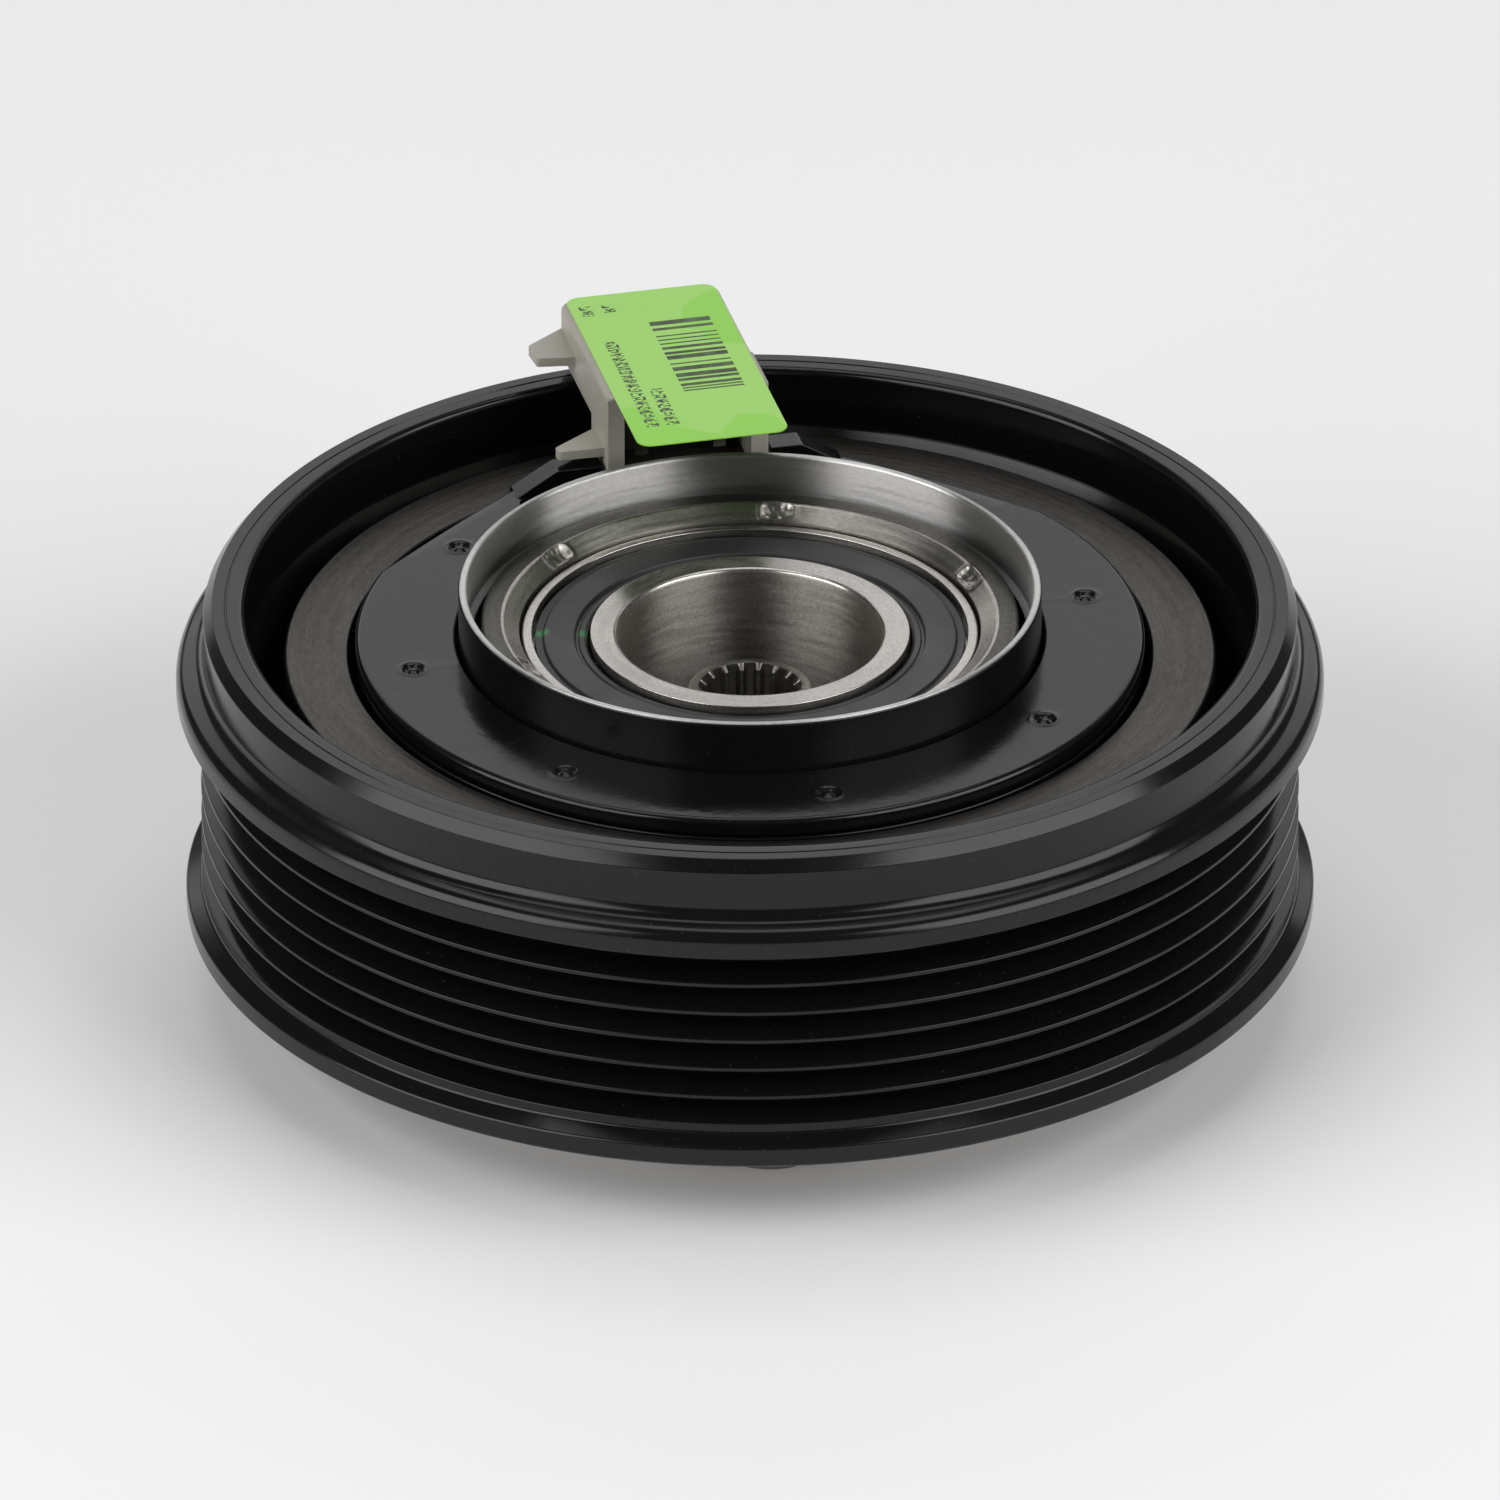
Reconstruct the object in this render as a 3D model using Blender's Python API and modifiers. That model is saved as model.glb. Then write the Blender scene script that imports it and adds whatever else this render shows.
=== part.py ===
"""Electromagnetic clutch of a belt-driven compressor, lying on its armature side.

All lengths here are in millimetres and become metres when a mesh is made. Heights are measured
from the rear end face of the pulley rim: that plane is height 0, and the front of the clutch is
below it. +Z points to the compressor, and the clutch's axis is the Z axis. Radii and heights are
written as (radius, height) pairs.
"""

import math

import bmesh
import bpy
from mathutils import Matrix, Vector

MM = 0.001
NAME = "electromagnetic_clutch"
REAR_PLANE = 47.4           # from the rivet heads that the clutch rests on to the rim's rear face

RING_STEPS = 40
BEARING_STEPS = 32
SMALL_STEPS = 12
BALL_STEPS = 8
GAP = 0.3                   # between pieces that touch or nearly touch
SMOOTH_ANGLE = math.radians(32)

# Belt pulley, with a six-groove multi-rib profile
RIM_LAND = (58.05, 60.85)   # inner and outer radius of the rear end face
RIM_WALL = 61.9
RIM_BORE = 57.2
BORE_STEP = (-7.0, -10.05)  # heights where the bore narrows
FLANGE = 65.0
GROOVE_PITCH = 3.56
GROOVE_COUNT = 6
GROOVE_DEPTH = 3.3
WALL_END = -5.35            # where the rim's wall turns into the rear flange
SHOULDER = ((62.25, -6.42), (63.16, -7.08), (63.69, -7.25), (64.64, -7.94))
FLANGE_HEIGHTS = (-9.06, -10.36)
CREST_END = -34.0
WEB_REAR = -33.4
GROOVE_HALF_TOP = 1.555
GROOVE_HALF_ROOT = 0.355
CREST = 62.3
FIRST_GROOVE = -13.52
RIM_INNER = 55.2
RIM_FRONT = -37.5
FRONT_FLANGE = 64.1
WEB_BORE = 53.0

# Rotor: a channel of magnetic steel that opens to the rear
POLE_OUTER = 52.7
POLE_INNER = 45.5
POLE_REAR = -6.0
ROTOR_HUB = 30.4
HUB_REAR = -2.0
FRICTION_FACE = -39.4
DISC_REAR = -34.9
BEARING_SEAT = 26.15
SEAT_FRONT = -26.0
ROTOR_OPENING = 24.3
STAKE_COUNT = 6
STAKE_FIRST = 83.5          # degrees from +X
STAKE_RADIUS = 27.4
SLOT_ROWS = ((33.2, 35.4, 0.0), (42.2, 44.4, 30.0))   # inner radius, outer radius, first angle
SLOT_COUNT = 6
SLOT_HALF_ANGLE = 22.0

# Double-row ball bearing, 30 x 52 x 22
BEARING_REAR = -3.7
BEARING_WIDTH = 22.0
BEARING_OUTSIDE = 25.85
BEARING_BORE = 15.0
INNER_SHOULDER = 18.1
OUTER_SHOULDER = 22.9
CHAMFER = 0.6
SEAL_SEAT = 24.7
SEAL_SEAT_DEPTH = 2.25
SEAL_THICKNESS = 1.44
SEAL_OFFSET = 9.75          # from the bearing's middle to a seal's middle
CAGE = (19.2, 21.8)
CAGE_REACH = (1.2, 4.7)     # inward and outward from its row's middle
BALL_RADIUS = 3.37
BALL_PITCH_RADIUS = 20.5
BALL_COUNT = 12
ROW_OFFSET = 4.0            # each row's distance from the bearing's middle
RACE_STEPS = 3

# Field coil
SHELL_INNER = (31.4, 33.2)
SHELL_OUTER = (42.9, 44.6)
SHELL_REAR = -6.2
SHELL_FRONT = -32.5
SHELL_BACK_WALL = 1.8
BOBBIN = (33.6, 34.6, 42.3)                  # bore, barrel and flange radius
BOBBIN_FLANGES = (-8.3, -9.3, -29.6, -30.6)
WINDING = (34.95, 41.6)
WINDING_HEIGHTS = (-9.7, -29.2)
POTTING = (33.6, 42.5)
POTTING_HEIGHTS = (-30.95, -32.2)
COLLAR = (32.05, 33.0)
COLLAR_TOP = 2.0
PLATE = (33.3, 44.7)
PLATE_REAR = -3.9
PLATE_THICKNESS = 2.0
PLATE_FLAT = 42.8           # distance from the axis of the two straight edges beside the connector
PLATE_FLAT_ANGLE = 42.5     # their angle to each side of the connector
DIMPLE_COUNT = 8
DIMPLE_CIRCLE = 39.0
DIMPLE_RADIUS = 1.1
DIMPLE_DEPTH = 0.6
DIMPLE_FIRST = 13.0
STRAP_ROOTS = (10.6, 9.0)   # from the connector's left and right side to where each strap springs
STRAP_RAMP = 4.8            # length of a strap's rising part
STRAP_HEIGHTS = (-2.6, -1.0)
STRAP_SPAN = (0.4, 3.6)     # along the connector
STRAP_SLOT = (-1.7, 0.1)    # the slot beside each strap, along the connector

# Connector on the coil, in its own frame: X across, Y outward from its inner end
CONNECTOR_AT = (-7.1, 36.8)
CONNECTOR_TURN = 13.5
CONNECTOR_WIDTH = 18.7
CONNECTOR_LENGTH = 24.6
CONNECTOR_HEIGHTS = (1.0, 8.2)
CONNECTOR_WALL = 1.9
FOOT_LENGTH = 8.0
FOOT_BOTTOM = -3.6
BASE_TOP = -2.9             # of the thin flange that goes under both straps
BASE_SPAN = (0.05, 4.6)
# Lugs on the housing's left side: root's and tip's span along it, reach from it, and top
OUTER_LUG = ((16.2, 24.3), (17.0, 20.3), 4.7, 5.0)
INNER_LUG = ((1.3, 7.1), (1.5, 2.6), 5.7, 0.9)
LUG_THICKNESS = 1.1
LUG_OVERLAP = 0.8
SOCKET_START = 10.0
SOCKET_HEIGHTS = (2.1, 7.0)
RECESS_END = 7.0
RECESS_HEIGHTS = (-2.6, 6.6)
TERMINAL_SPACING = 4.6      # each blade's distance from the middle
TERMINAL_SPAN = (3.6, 19.0)
TERMINAL_SIZE = (1.5, 0.8)
TERMINAL_HEIGHT = 4.5
LABEL_SPAN = (-13.3, 24.4)
LABEL_WIDTH = 17.6
LABEL_THICKNESS = 0.12
LABEL_CORNER = 1.6

# Armature and splined hub
ARMATURE = (26.3, 50.0)
ARMATURE_REAR = -39.95
ARMATURE_FRONT = -43.9
ARMATURE_SLOT = (36.9, 39.1)
OUTER_RIVET_CIRCLE = 44.0
INNER_RIVET_CIRCLE = 19.0
RIVET_FIRST = -87.4         # angle of the first outer rivet
RIVET_SWEEP = 75.0          # from an outer rivet back to its inner one
RIVET_COUNT = 3
RIVET_HOLE = 2.9
RIVET_SHANK = 2.55
RIVET_HEAD = 3.2
COUNTERSINK = (4.3, -41.0, -42.1)            # radius, end of its rim and end of its cone
SPRING_REAR = -44.2
SPRING_THICKNESS = 1.2
SPRING_LUGS = (6.4, 5.0)    # radius at the outer and at the inner end
BOSS_RADIUS = 7.05
BOSS_REAR = -10.9
HUB_FLANGE = 24.0
HUB_FLANGE_REAR = -40.45
NUT_RECESS = (9.0, -38.4)
SPLINE_TEETH = 18
SPLINE_TIP = 5.2
SPLINE_ROOT = 6.0
NECK = ((-34.0, 7.05), (-37.6, 9.5), (-40.45, 12.5))        # height and radius of the boss's flare


def clear_scene():
    for obj in list(bpy.data.objects):
        bpy.data.objects.remove(obj, do_unlink=True)


def collection_named(name):
    made = bpy.data.collections.new(name)
    bpy.context.scene.collection.children.link(made)
    return made


def empty_at(name, location, turn=0.0, parent=None):
    made = bpy.data.objects.new(name, None)
    made.location = Vector(location) * MM
    made.rotation_euler.z = math.radians(turn)
    made.parent = parent
    parts.objects.link(made)
    return made


def material_of(name, colour, roughness, metallic):
    made = bpy.data.materials.new(name)
    made.use_nodes = True
    shader = made.node_tree.nodes["Principled BSDF"]
    shader.inputs["Base Color"].default_value = (*colour, 1.0)
    shader.inputs["Roughness"].default_value = roughness
    shader.inputs["Metallic"].default_value = metallic
    return made


def object_from(name, mesh, parent, collection=None):
    made = bpy.data.objects.new(name, mesh)
    made.parent = parent
    (collection or parts).objects.link(made)
    return made


def turn_about(letter, angle):
    return Matrix.Rotation(angle, 3, letter)


def polar(radius, degrees):
    return radius * math.cos(math.radians(degrees)), radius * math.sin(math.radians(degrees))


def arc(centre, radius, start, end, segments):
    """Points on a circular arc between two angles in degrees, both ends included."""
    points = []
    for i in range(segments + 1):
        x, y = polar(radius, start + (end - start) * i / segments)
        points.append((centre[0] + x, centre[1] + y))
    return points


def turned(name, profile, steps, parent, closed=True, collection=None):
    """A solid of revolution about Z from a (radius, height) profile that runs down its outer side."""
    mesh = bpy.data.meshes.new(name)
    outline = bmesh.new()
    corners = [outline.verts.new((r * MM, 0.0, z * MM)) for r, z in profile]
    for first, second in zip(corners, corners[1:]):
        outline.edges.new((first, second))
    if closed:
        outline.edges.new((corners[-1], corners[0]))
    outline.to_mesh(mesh)
    outline.free()
    made = object_from(name, mesh, parent, collection)
    screw = made.modifiers.new("turn", "SCREW")
    screw.steps = steps
    screw.render_steps = steps
    screw.use_merge_vertices = True
    screw.merge_threshold = 1e-5
    return bake(made)


def ring_profile(radii, heights):
    """A plain ring's profile, from its inner and outer radius and its top and bottom height."""
    (inner, outer), (top, bottom) = radii, heights
    return [(outer, top), (outer, bottom), (inner, bottom), (inner, top)]


def flat(name, outlines, low, high, parent, collection=None):
    """A slab between two heights, from one or more closed outlines of (x, y) points."""
    curve = bpy.data.curves.new(name, "CURVE")
    curve.dimensions = "2D"
    curve.fill_mode = "BOTH"
    curve.extrude = (high - low) / 2 * MM
    for outline in outlines:
        spline = curve.splines.new("POLY")
        spline.points.add(len(outline) - 1)
        for point, (x, y) in zip(spline.points, outline):
            point.co = (x * MM, y * MM, 0.0, 1.0)
        spline.use_cyclic_u = True
    guide = bpy.data.objects.new(name + "_outline", curve)
    helpers.objects.link(guide)
    bpy.context.view_layer.update()
    graph = bpy.context.evaluated_depsgraph_get()
    mesh = bpy.data.meshes.new_from_object(guide.evaluated_get(graph))
    bpy.data.objects.remove(guide)
    welded = bmesh.new()
    welded.from_mesh(mesh)
    bmesh.ops.remove_doubles(welded, verts=welded.verts, dist=1e-6)
    bmesh.ops.translate(welded, verts=welded.verts, vec=(0.0, 0.0, (low + high) / 2 * MM))
    bmesh.ops.recalc_face_normals(welded, faces=welded.faces)
    welded.to_mesh(mesh)
    welded.free()
    return object_from(name, mesh, parent, collection)


def block(name, lows, highs, parent, collection=None, bevel=0.0):
    """A box between two corners, with its edges bevelled if asked."""
    mesh = bpy.data.meshes.new(name)
    box = bmesh.new()
    bmesh.ops.create_cube(box, size=1.0)
    size = [(high - low) * MM for low, high in zip(lows, highs)]
    middle = [(high + low) / 2 * MM for low, high in zip(lows, highs)]
    bmesh.ops.scale(box, verts=box.verts, vec=size)
    bmesh.ops.translate(box, verts=box.verts, vec=middle)
    box.to_mesh(mesh)
    box.free()
    made = object_from(name, mesh, parent, collection)
    if bevel:
        rounding = made.modifiers.new("rounding", "BEVEL")
        rounding.width = bevel * MM
        rounding.segments = 2
        bake(made)
    return made


def bake(made):
    """The object's evaluated mesh made its own, and shaded smooth up to its sharp edges."""
    bpy.context.view_layer.update()
    graph = bpy.context.evaluated_depsgraph_get()
    mesh = bpy.data.meshes.new_from_object(made.evaluated_get(graph))
    made.modifiers.clear()
    made.data = mesh
    mesh.shade_smooth()
    mesh.set_sharp_from_angle(angle=SMOOTH_ANGLE)
    return made


def combine(made, other, operation):
    """Cuts the other object from this one, or joins it on. The other stays as a hidden helper."""
    other.hide_render = True
    other.display_type = "WIRE"
    change = made.modifiers.new(other.name, "BOOLEAN")
    change.operation = operation
    change.solver = "EXACT"
    change.object = other
    return bake(made)


def finish(made, colour, roughness, metallic):
    made.data.materials.clear()
    made.data.materials.append(material_of(made.name, colour, roughness, metallic))
    made.data.shade_smooth()
    made.data.set_sharp_from_angle(angle=SMOOTH_ANGLE)
    return made


def arc_slots(inner, outer, count, first, half_angle, segments=4):
    """Outlines of curved slots, spaced evenly round the axis."""
    outlines = []
    for i in range(count):
        middle = first + 360 / count * i
        far = arc((0, 0), outer, middle - half_angle, middle + half_angle, segments)
        near = arc((0, 0), inner, middle + half_angle, middle - half_angle, segments)
        outlines.append(far + near)
    return outlines


def circle_at(centre, radius, segments):
    return arc(centre, radius, 0.0, 360.0 * (segments - 1) / segments, segments - 1)


def pulley_rim():
    """Rear flange, six belt grooves, front flange and the web that carries the rim."""
    outside = [
        (RIM_LAND[1], 0.0), (RIM_WALL, -1.3), (RIM_WALL, WALL_END), *SHOULDER,
        (FLANGE, FLANGE_HEIGHTS[0]), (FLANGE, FLANGE_HEIGHTS[1]),
        (CREST + 0.3, FLANGE_HEIGHTS[1] - 0.9),
        (CREST, FIRST_GROOVE + GROOVE_PITCH / 2 + 0.2),
    ]
    for i in range(GROOVE_COUNT):
        middle = FIRST_GROOVE - GROOVE_PITCH * i
        outside += [
            (CREST, middle + GROOVE_HALF_TOP),
            (CREST - GROOVE_DEPTH, middle + GROOVE_HALF_ROOT),
            (CREST - GROOVE_DEPTH, middle - GROOVE_HALF_ROOT),
            (CREST, middle - GROOVE_HALF_TOP),
        ]
    front = [
        (CREST, CREST_END), (FRONT_FLANGE, CREST_END - 1.1), (FRONT_FLANGE, RIM_FRONT + 0.5),
        (FRONT_FLANGE - 0.5, RIM_FRONT), (WEB_BORE, RIM_FRONT), (WEB_BORE, WEB_REAR),
    ]
    inside = [
        (RIM_INNER, WEB_REAR), (RIM_INNER, BORE_STEP[1]), (RIM_BORE, BORE_STEP[0]),
        (RIM_BORE, -0.85), (RIM_LAND[0], 0.0),
    ]
    made = turned("pulley_rim", outside + front + inside, RING_STEPS, axis)
    finish(made, (0.012, 0.012, 0.012), 0.3, 0.0)


def rotor():
    profile = [
        (POLE_OUTER, POLE_REAR), (POLE_OUTER, FRICTION_FACE), (ROTOR_OPENING, FRICTION_FACE),
        (ROTOR_OPENING, SEAT_FRONT), (BEARING_SEAT, SEAT_FRONT), (BEARING_SEAT, -3.3),
        (27.9, HUB_REAR), (ROTOR_HUB, HUB_REAR), (ROTOR_HUB, DISC_REAR), (POLE_INNER, DISC_REAR),
        (POLE_INNER, POLE_REAR),
    ]
    made = turned("rotor", profile, RING_STEPS, axis)
    outlines = []
    for inner, outer, first in SLOT_ROWS:
        outlines += arc_slots(inner, outer, SLOT_COUNT, first, SLOT_HALF_ANGLE)
    slots = flat("rotor_slots", outlines, FRICTION_FACE - 1, DISC_REAR + 1, axis, helpers)
    combine(made, slots, "DIFFERENCE")
    marks = []
    for i in range(STAKE_COUNT):
        angle = STAKE_FIRST + 360 / STAKE_COUNT * i
        marks.append(circle_at(polar(STAKE_RADIUS, angle), 0.9, 8))
    stakes = flat("stake_marks", marks, HUB_REAR - 1.4, HUB_REAR + 1, axis, helpers)
    combine(made, stakes, "DIFFERENCE")
    finish(made, (0.09, 0.09, 0.088), 0.4, 0.9)


def race_groove(side, shoulder, direction):
    """Points of one ball groove, from high to low, in a ring whose shoulder has this radius.

    The groove's centre lies on the ball circle. direction is 1 in the outer ring and -1 in the
    inner one.
    """
    radius = BALL_RADIUS + GAP
    half = math.degrees(math.acos((shoulder - BALL_PITCH_RADIUS) * direction / radius))
    middle = (BALL_PITCH_RADIUS, BEARING_REAR - BEARING_WIDTH / 2 + side * ROW_OFFSET)
    centre_angle = 0.0 if direction > 0 else 180.0
    return arc(middle, radius, centre_angle + half * direction, centre_angle - half * direction,
               RACE_STEPS)


def bearing_outer_ring():
    front = BEARING_REAR - BEARING_WIDTH
    outside = [
        (BEARING_OUTSIDE - CHAMFER, BEARING_REAR), (BEARING_OUTSIDE, BEARING_REAR - CHAMFER),
        (BEARING_OUTSIDE, front + CHAMFER), (BEARING_OUTSIDE - CHAMFER, front),
    ]
    inside = [
        (SEAL_SEAT, front), (SEAL_SEAT, front + SEAL_SEAT_DEPTH),
        (OUTER_SHOULDER, front + SEAL_SEAT_DEPTH),
        *reversed(race_groove(-1, OUTER_SHOULDER, 1)),
        *reversed(race_groove(1, OUTER_SHOULDER, 1)),
        (OUTER_SHOULDER, BEARING_REAR - SEAL_SEAT_DEPTH),
        (SEAL_SEAT, BEARING_REAR - SEAL_SEAT_DEPTH), (SEAL_SEAT, BEARING_REAR),
    ]
    made = turned("bearing_outer_ring", outside + inside, BEARING_STEPS, axis)
    finish(made, (0.55, 0.55, 0.53), 0.25, 1.0)


def bearing_inner_ring():
    front = BEARING_REAR - BEARING_WIDTH
    outside = [
        (INNER_SHOULDER, BEARING_REAR),
        *race_groove(1, INNER_SHOULDER, -1),
        *race_groove(-1, INNER_SHOULDER, -1),
        (INNER_SHOULDER, front),
    ]
    inside = [
        (BEARING_BORE + CHAMFER, front), (BEARING_BORE, front + CHAMFER),
        (BEARING_BORE, BEARING_REAR - CHAMFER), (BEARING_BORE + CHAMFER, BEARING_REAR),
    ]
    made = turned("bearing_inner_ring", outside + inside, BEARING_STEPS, axis)
    finish(made, (0.62, 0.61, 0.58), 0.28, 1.0)


def bearing_seal(name, middle_height):
    heights = (middle_height + SEAL_THICKNESS / 2, middle_height - SEAL_THICKNESS / 2)
    radii = (INNER_SHOULDER + GAP, SEAL_SEAT - GAP)
    made = turned(name, ring_profile(radii, heights), BEARING_STEPS, axis)
    finish(made, (0.05, 0.05, 0.05), 0.5, 0.0)


def ball_cage(name, side, row_height):
    """A snap cage: a ring on the outer side of its row, with a pocket round each ball."""
    inward, outward = CAGE_REACH
    low, high = sorted((row_height - side * inward, row_height + side * outward))
    made = turned(name, ring_profile(CAGE, (high, low)), BALL_COUNT * 2, axis)
    mesh = bpy.data.meshes.new(name + "_pockets")
    pockets = bmesh.new()
    sides = 8
    pocket_radius = (BALL_RADIUS + GAP) / math.cos(math.pi / sides)
    for i in range(BALL_COUNT):
        angle = math.radians(360 / BALL_COUNT * i)
        placed = bmesh.ops.create_cone(
            pockets, cap_ends=True, segments=sides, radius1=pocket_radius * MM,
            radius2=pocket_radius * MM, depth=6.0 * MM,
        )["verts"]
        bmesh.ops.rotate(pockets, verts=placed, matrix=turn_about("Z", math.pi / sides))
        bmesh.ops.rotate(pockets, verts=placed, matrix=turn_about("Y", math.pi / 2))
        bmesh.ops.translate(
            pockets, verts=placed, vec=(BALL_PITCH_RADIUS * MM, 0.0, row_height * MM)
        )
        bmesh.ops.rotate(pockets, verts=placed, matrix=turn_about("Z", angle))
    pockets.to_mesh(mesh)
    pockets.free()
    combine(made, object_from(name + "_pockets", mesh, axis, helpers), "DIFFERENCE")
    finish(made, (0.5, 0.42, 0.25), 0.5, 0.0)


def ball_row(label, row_height):
    """The balls of one row. They share one mesh, and each is its own object."""
    profile = [
        (BALL_RADIUS * math.sin(math.pi * i / 5), BALL_RADIUS * math.cos(math.pi * i / 5))
        for i in range(6)
    ]
    profile[0] = (0.0, BALL_RADIUS)
    profile[-1] = (0.0, -BALL_RADIUS)
    first = turned(f"ball_{label}_01", profile, BALL_STEPS, axis, closed=False)
    finish(first, (0.7, 0.7, 0.7), 0.08, 1.0)
    for i in range(BALL_COUNT):
        name = f"ball_{label}_{i + 1:02d}"
        ball = first if i == 0 else object_from(name, first.data, axis)
        x, y = polar(BALL_PITCH_RADIUS, 360 / BALL_COUNT * i)
        ball.location = Vector((x, y, row_height)) * MM


def coil_shell():
    """The coil's steel shell: a channel that opens to the front, with the locating collar."""
    profile = [
        (COLLAR[1] - 0.25, COLLAR_TOP), (COLLAR[1], COLLAR_TOP - 0.3), (COLLAR[1], SHELL_REAR),
        (SHELL_OUTER[1], SHELL_REAR), (SHELL_OUTER[1], SHELL_FRONT), (SHELL_OUTER[0], SHELL_FRONT),
        (SHELL_OUTER[0], SHELL_REAR - SHELL_BACK_WALL),
        (SHELL_INNER[1], SHELL_REAR - SHELL_BACK_WALL), (SHELL_INNER[1], SHELL_FRONT),
        (SHELL_INNER[0], SHELL_FRONT), (SHELL_INNER[0], -4.1), (COLLAR[0], -3.4),
        (COLLAR[0], COLLAR_TOP - 0.2), (COLLAR[0] + 0.2, COLLAR_TOP),
    ]
    made = turned("coil_shell", profile, RING_STEPS, axis)
    finish(made, (0.45, 0.45, 0.44), 0.25, 1.0)


def coil_windings():
    """Bobbin, copper winding and the resin that closes the shell's front, from rear to front."""
    bore, barrel, flange = BOBBIN
    rear, rear_under, front_under, front = BOBBIN_FLANGES
    bobbin = [
        (flange, rear), (flange, rear_under), (barrel, rear_under), (barrel, front_under),
        (flange, front_under), (flange, front), (bore, front), (bore, rear),
    ]
    made = turned("coil_bobbin", bobbin, BEARING_STEPS, axis)
    finish(made, (0.75, 0.72, 0.62), 0.5, 0.0)
    made = turned("coil_winding", ring_profile(WINDING, WINDING_HEIGHTS), BEARING_STEPS, axis)
    finish(made, (0.6, 0.25, 0.1), 0.3, 1.0)
    made = turned("coil_potting", ring_profile(POTTING, POTTING_HEIGHTS), BEARING_STEPS, axis)
    finish(made, (0.03, 0.03, 0.03), 0.5, 0.0)


def coil_plate():
    """Sheet plate on the coil's rear: dimples, two straight edges and two straps."""
    low = PLATE_REAR - PLATE_THICKNESS
    profile = [
        (PLATE[1] - 0.5, PLATE_REAR), (PLATE[1], PLATE_REAR - 0.5), (PLATE[1], low),
        (PLATE[0], low), (PLATE[0], PLATE_REAR),
    ]
    made = turned("coil_plate", profile, RING_STEPS, axis)
    facing = 90 + math.degrees(math.atan2(-CONNECTOR_AT[0], CONNECTOR_AT[1]))
    for side in (-1, 1):
        turn = empty_at(f"flat_{side}", (0, 0, 0), facing + side * PLATE_FLAT_ANGLE, axis)
        trim = block(f"plate_trim_{side}", (PLATE_FLAT, -20, low - 1),
                     (PLATE_FLAT + 5, 20, PLATE_REAR + 1), turn, helpers)
        combine(made, trim, "DIFFERENCE")
    dents = []
    for i in range(DIMPLE_COUNT):
        angle = DIMPLE_FIRST + 360 / DIMPLE_COUNT * i
        if abs(angle - facing) > 15:
            dents.append(circle_at(polar(DIMPLE_CIRCLE, angle), DIMPLE_RADIUS, 8))
    dimples = flat("plate_dimples", dents, PLATE_REAR - DIMPLE_DEPTH, PLATE_REAR + 1, axis, helpers)
    combine(made, dimples, "DIFFERENCE")
    for side, root in zip((-1, 1), STRAP_ROOTS):
        combine(made, strap_slot(side, root), "DIFFERENCE")
        combine(made, plate_strap(side, root), "UNION")
    finish(made, (0.015, 0.015, 0.015), 0.28, 0.0)


def strap_slot(side, root):
    """Cutter for the slot that sets a strap free: it has one round end."""
    near, far = STRAP_SLOT
    radius = (far - near) / 2
    centre = (CONNECTOR_WIDTH / 2 + root - radius, (near + far) / 2)
    outline = [(CONNECTOR_WIDTH / 2 - 1, near), *arc(centre, radius, -90, 90, 6),
               (CONNECTOR_WIDTH / 2 - 1, far)]
    if side < 0:
        outline = [(-x, y) for x, y in reversed(outline)]
    low = PLATE_REAR - PLATE_THICKNESS - 1
    return flat(f"strap_slot_{side}", [outline], low, PLATE_REAR + 1, connector, helpers)


def plate_strap(side, root):
    """A strap of the plate that rises to the connector's foot and ends level beside it."""
    start = CONNECTOR_WIDTH / 2 + GAP + 0.2
    root += CONNECTOR_WIDTH / 2
    under, top = STRAP_HEIGHTS
    low = PLATE_REAR - PLATE_THICKNESS + 0.5
    outline = [
        (root, low), (root, PLATE_REAR - 0.7), (root - STRAP_RAMP, top), (start, top),
        (start, under), (root - STRAP_RAMP - 0.8, under), (root - 2.0, low),
    ]
    if side < 0:
        outline = [(-x, y) for x, y in reversed(outline)]
    near, far = STRAP_SPAN
    half = (far - near) / 2
    made = flat(f"plate_strap_{side}", [outline], -half, half, None, helpers)
    stand_up = turn_about("X", math.pi / 2)
    made.data.transform(stand_up.to_4x4())
    made.parent = connector
    made.location = Vector((0.0, (near + far) / 2, 0.0)) * MM
    return made


def side_lug(name, root_span, tip_span, reach, top):
    """A four-sided lug on the housing's left side: it narrows outwards."""
    root, tip = LUG_OVERLAP - CONNECTOR_WIDTH / 2, -CONNECTOR_WIDTH / 2 - reach
    outline = [(root, root_span[1]), (tip, tip_span[1]), (tip, tip_span[0]), (root, root_span[0])]
    return flat(name, [outline], top - LUG_THICKNESS, top, connector, helpers)


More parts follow.
